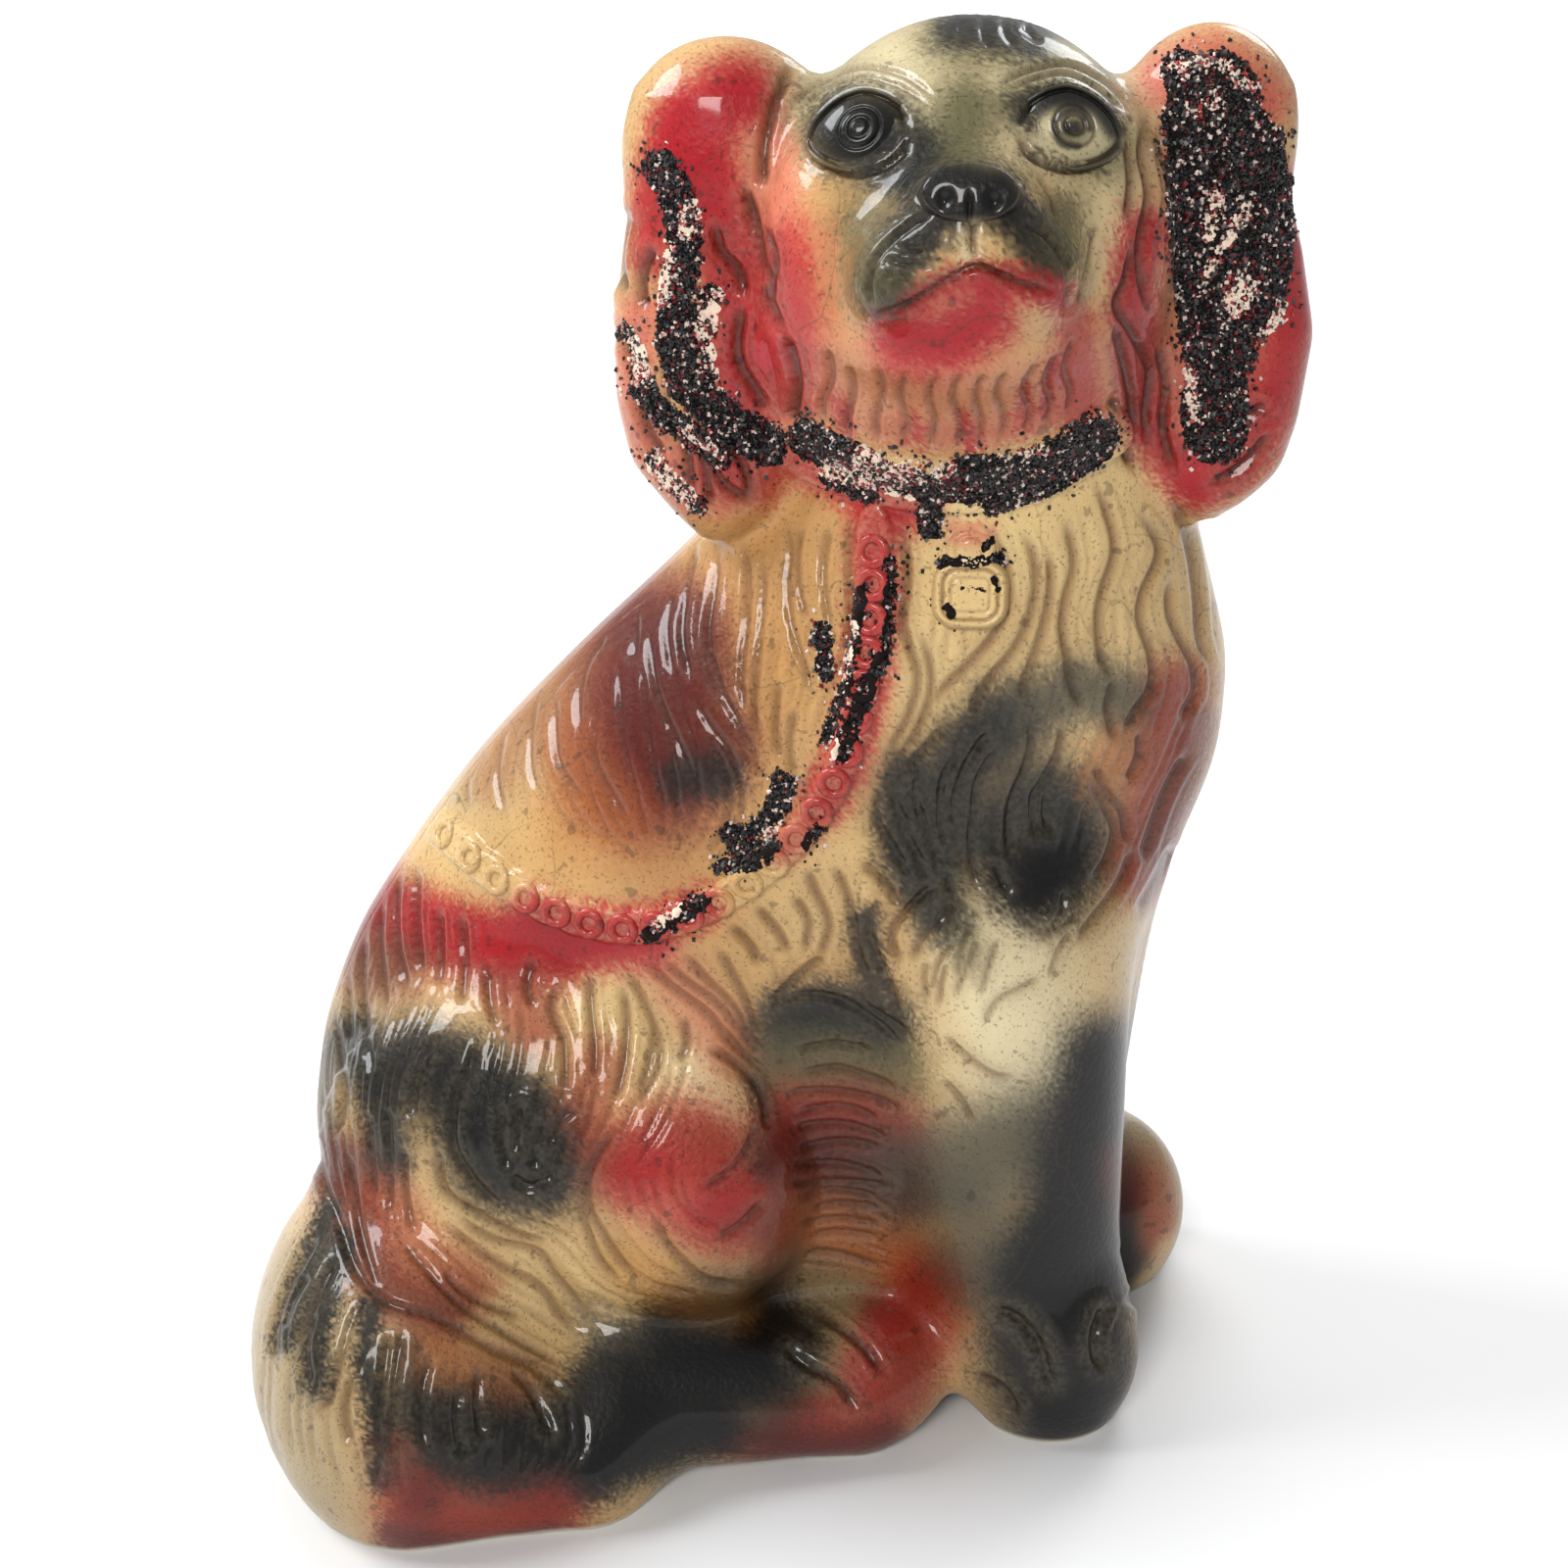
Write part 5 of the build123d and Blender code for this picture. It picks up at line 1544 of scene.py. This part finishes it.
def linkTree():
    tree, given, out = patternTree("chainLinks", {"Ring": "NodeSocketFloat", "Bar": "NodeSocketFloat",
                                                  "Material": "NodeSocketMaterial"})
    sweep = addNode(tree, "GeometryNodeCurveToMesh")
    for size, sides, end in (("Ring", chain["ringSides"], "Curve"), ("Bar", chain["barSides"], "Profile Curve")):
        circle = addNode(tree, "GeometryNodeCurvePrimitiveCircle")
        circle.inputs["Resolution"].default_value = sides
        tree.links.new(given[size], circle.inputs["Radius"])
        tree.links.new(circle.outputs["Curve"], sweep.inputs[end])
    turn = addNode(tree, "FunctionNodeAlignRotationToVector", axis="Z")
    tree.links.new(namedField(tree, "outward", "FLOAT_VECTOR"), turn.inputs["Vector"])
    links = addNode(tree, "GeometryNodeInstanceOnPoints")
    tree.links.new(given["Mesh"], links.inputs["Points"])
    tree.links.new(sweep.outputs["Mesh"], links.inputs["Instance"])
    tree.links.new(turn.outputs["Rotation"], links.inputs["Rotation"])
    return finishTree(tree, links, given, out)


linkPixels = evenPath(chainRibbon["path"], chain["count"])[1:]
spots, normals = onCast(linkPixels)
onSkin = np.abs(castField(spots)) < chain["offSkin"]
spots, normals = spots[onSkin], normals[onSkin]
hostMesh = meshOf("chainHost", spots + normals * (chainRibbon["rise"] * 0.5 + chain["lift"]), [])
attributeOn(hostMesh, "outward", "FLOAT_VECTOR", normals)
chainMesh = grown("chainHost", hostMesh, linkTree(), {"Ring": chain["ring"], "Bar": chain["bar"], "Material": plaster})
smallPiece("chainRings", chainMesh, 0.0, chain["wear"], "front_cast_half")
print("chain laid", len(chainMesh.polygons))


# Crushed glass: chips per square millimetre, their sizes in millimetres; a chip's tone is random from 0 to 1,
# and up to 0.45 more where the band is worn
chips = dict(
    density=4.4, size=0.66, sizeSpread=(0.45, 1.3), narrowness=0.8, flatness=0.5, lift=0.08, seed=5,
    strays=0.07, strayReach=9, straySoftness=14.0, edge=(0.35, 0.75), edgeBias=-0.05, raggedness=0.6,
    raggedLength=5.0, leastScatter=0.02, facing=0.12, wearTone=0.45, wearThinning=0.5,
    roughness=0.42, darkest=(0.055, 0.05, 0.05),
    # the grey tone stands for a painted glint on the black chips; the first white tone gives white flecks, partly a
    # painted sparkle
    tones=((0.70, (0.20, 0.18, 0.19)), (0.84, (0.40, 0.08, 0.10)), (0.92, (0.80, 0.72, 0.68)),
           (1.10, (0.62, 0.22, 0.24)), (1.22, (0.88, 0.80, 0.74))),
)


def glitterMaterial():
    material = bpy.data.materials.new("crushedGlass")
    material.use_nodes = True
    tree = material.node_tree
    shader = tree.nodes["Principled BSDF"]
    tone = attributeIn(tree, "chipTone")
    shade = rgba(chips["darkest"])
    for low, colour in chips["tones"]:
        shade = mixColours(tree, calculate(tree, "GREATER_THAN", tone, low), shade, rgba(colour))
    tree.links.new(shade, shader.inputs["Base Color"])
    shader.inputs["Roughness"].default_value = chips["roughness"]
    return material


crushedGlass = glitterMaterial()


def chipTree():
    tree, given, out = patternTree("glassChips", {
        "Density": "NodeSocketFloat", "Size": "NodeSocketFloat", "Smallest": "NodeSocketFloat",
        "Largest": "NodeSocketFloat", "Flatness": "NodeSocketFloat", "Seed": "NodeSocketInt",
        "Material": "NodeSocketMaterial"})
    scatter = addNode(tree, "GeometryNodeDistributePointsOnFaces")
    tree.links.new(given["Mesh"], scatter.inputs["Mesh"])
    density = calculate(tree, "MULTIPLY", namedField(tree, "chipShare"), given["Density"])
    tree.links.new(density, scatter.inputs["Density"])
    tree.links.new(given["Seed"], scatter.inputs["Seed"])
    chip = addNode(tree, "GeometryNodeMeshCube")
    cubeSize = addNode(tree, "ShaderNodeCombineXYZ")
    for axis in range(3):
        tree.links.new(given["Size"], cubeSize.inputs[axis])
    tree.links.new(cubeSize.outputs[0], chip.inputs["Size"])
    tone = addNode(tree, "FunctionNodeRandomValue", data_type="FLOAT")
    tree.links.new(given["Seed"], tone.inputs["Seed"])
    toneValue = calculate(tree, "MULTIPLY_ADD", namedField(tree, "chipWear"), chips["wearTone"], enabledOutput(tone))
    keep = addNode(tree, "GeometryNodeStoreNamedAttribute", data_type="FLOAT", domain="POINT")
    keep.inputs["Name"].default_value = "chipTone"
    tree.links.new(scatter.outputs["Points"], keep.inputs["Geometry"])
    tree.links.new(toneValue, keep.inputs["Value"])
    turn = addNode(tree, "FunctionNodeRandomValue", data_type="FLOAT_VECTOR")
    turn.inputs["Max"].default_value = (6.283, 6.283, 6.283)  # a full turn about each axis
    size = addNode(tree, "FunctionNodeRandomValue", data_type="FLOAT")
    for limit, source in (("Min", "Smallest"), ("Max", "Largest")):
        socket = [one for one in size.inputs if one.name == limit and one.type == "VALUE"][0]
        tree.links.new(given[source], socket)
    grow = addNode(tree, "ShaderNodeCombineXYZ")
    sizeValue = enabledOutput(size)
    tree.links.new(sizeValue, grow.inputs[0])
    tree.links.new(calculate(tree, "MULTIPLY", sizeValue, chips["narrowness"]), grow.inputs[1])
    tree.links.new(calculate(tree, "MULTIPLY", sizeValue, given["Flatness"]), grow.inputs[2])
    spread = addNode(tree, "GeometryNodeInstanceOnPoints")
    tree.links.new(keep.outputs["Geometry"], spread.inputs["Points"])
    tree.links.new(chip.outputs["Mesh"], spread.inputs["Instance"])
    tree.links.new(enabledOutput(turn), spread.inputs["Rotation"])
    tree.links.new(grow.outputs[0], spread.inputs["Scale"])
    return finishTree(tree, spread, given, out)


chipPattern = chipTree()
frontPoints = pointsOf(frontMesh)
frontNormals = readAll(frontMesh.attributes["trueNormal"].data, "vector", 3)
frontPixels = photoPixels(frontPoints)
frontSeen = skinParts(frontMesh, frontPoints)[0] * (facingCamera(frontPoints, frontNormals) > chips["facing"])
corners = readAll(frontMesh.loops, "vertex_index", 1, np.int32)
starts = readAll(frontMesh.polygons, "loop_start", 1, np.int32)
totals = readAll(frontMesh.polygons, "loop_total", 1, np.int32)
quadFaces = corners[starts[totals == 4][:, None] + np.arange(4)]
raggedEdge = chips["raggedness"] * unevenness(frontPoints, chips["raggedLength"], 21)
glitterNodes = dict(leftEarGlitter="left_ear_glitter", rightEarGlitter="right_ear_glitter",
                    collarGlitter="collar_glitter", padlockGlitter="padlock_glitter",
                    upperChainGlitter="upper_chain_glitter", lowerChainGlitter="lower_chain_glitter")
for number, (name, node) in enumerate(glitterNodes.items()):
    band = glitterBands[name]
    mask = sampled(strokeMask(band["strokes"]), frontPixels) * frontSeen
    wear = sampled(strokeMask(band["worn"]), frontPixels)
    wider = [(half + chips["strayReach"], path) for half, path in band["strokes"]]
    scatter = sampled(strokeMask(wider, chips["straySoftness"]), frontPixels) * frontSeen
    share = smoothStep(*chips["edge"], mask + raggedEdge + chips["edgeBias"]) * (1 - chips["wearThinning"] * wear)
    share = np.maximum(share * (scatter > chips["leastScatter"]), chips["strays"] * scatter)
    # only the skin round the band takes part
    faces = quadFaces[scatter[quadFaces].min(axis=1) > chips["leastScatter"]]
    used, compact = np.unique(faces, return_inverse=True)
    patch = meshOf(name + "Patch", frontPoints[used] + frontNormals[used] * chips["lift"], compact.reshape(-1, 4))
    attributeOn(patch, "chipShare", "FLOAT", share[used])
    attributeOn(patch, "chipWear", "FLOAT", wear[used])
    grains = grown(name + "Patch", patch, chipPattern, {
        "Density": chips["density"], "Size": chips["size"], "Smallest": chips["sizeSpread"][0],
        "Largest": chips["sizeSpread"][1], "Flatness": chips["flatness"], "Seed": chips["seed"] + number,
        "Material": crushedGlass})
    glitterPiece = pieceOf(name, grains, crushedGlass, node)
    print(name, "faces", len(grains.polygons))

# Table top, camera and light
stage = dict(floorCorners=[(-4, -3, 0), (4, -3, 0), (4, 5, 0), (-4, 5, 0)], floorShade=(0.84, 0.84, 0.84),
             floorRoughness=0.6, roomShade=(0.93, 0.94, 0.96), roomLight=0.44)
floorMesh = meshOf("floor", stage["floorCorners"], [(0, 1, 2, 3)])
floorPiece = bpy.data.objects.new("floor", floorMesh)
floorMaterial = bpy.data.materials.new("paleTable")
floorMaterial.use_nodes = True
floorShader = floorMaterial.node_tree.nodes["Principled BSDF"]
floorShader.inputs["Base Color"].default_value = rgba(stage["floorShade"])
floorShader.inputs["Roughness"].default_value = stage["floorRoughness"]
floorMesh.materials.append(floorMaterial)
bpy.context.scene.collection.objects.link(floorPiece)

camera = bpy.data.cameras.new("camera")
camera.lens = photoCamera["focalPixels"] * photoCamera["sensorMm"] / photoCamera["framePixels"]
camera.sensor_width = photoCamera["sensorMm"]
cameraPiece = bpy.data.objects.new("camera", camera)
bpy.context.scene.collection.objects.link(cameraPiece)
cameraPiece.location = (cameraEye + neckToFrame) * millimetre
cameraPiece.rotation_euler = (math.pi / 2 - tilt, 0, 0)
bpy.context.scene.camera = cameraPiece

# lamp: place, what it points at, size, power, colour
lamps = dict(
    window=((-0.85, 0.10, 1.00), (0.0, 0.0, 0.14), 0.55, 16.0, (0.94, 0.97, 1.0)),
    front=((-0.30, -1.15, 0.95), (0.0, 0.0, 0.14), 0.45, 13.0, (1.0, 0.97, 0.93)),
    rim=((0.55, 0.85, 0.75), (0.0, 0.0, 0.14), 0.4, 3.0, (0.95, 0.97, 1.0)),
    backdrop=((0.0, 2.4, 2.2), (0.0, 3.0, 0.0), 2.5, 150.0, (1.0, 1.0, 1.0)),
)
for name, (place, target, size, power, tint) in lamps.items():
    lamp = bpy.data.lights.new(name, "AREA")
    lamp.energy, lamp.size, lamp.color = power, size, tint
    lampPiece = bpy.data.objects.new(name, lamp)
    bpy.context.scene.collection.objects.link(lampPiece)
    lampPiece.location = place
    lampPiece.visible_glossy = name != "backdrop"  # it lights the floor behind and would glare on the crown
    aim = Vector(target) - Vector(place)
    lampPiece.rotation_euler = aim.to_track_quat("-Z", "Y").to_euler()
world = bpy.data.worlds.new("room")
bpy.context.scene.world = world
world.use_nodes = True
world.node_tree.nodes["Background"].inputs["Color"].default_value = rgba(stage["roomShade"])
world.node_tree.nodes["Background"].inputs["Strength"].default_value = stage["roomLight"]
bpy.context.scene.view_settings.view_transform = "Standard"
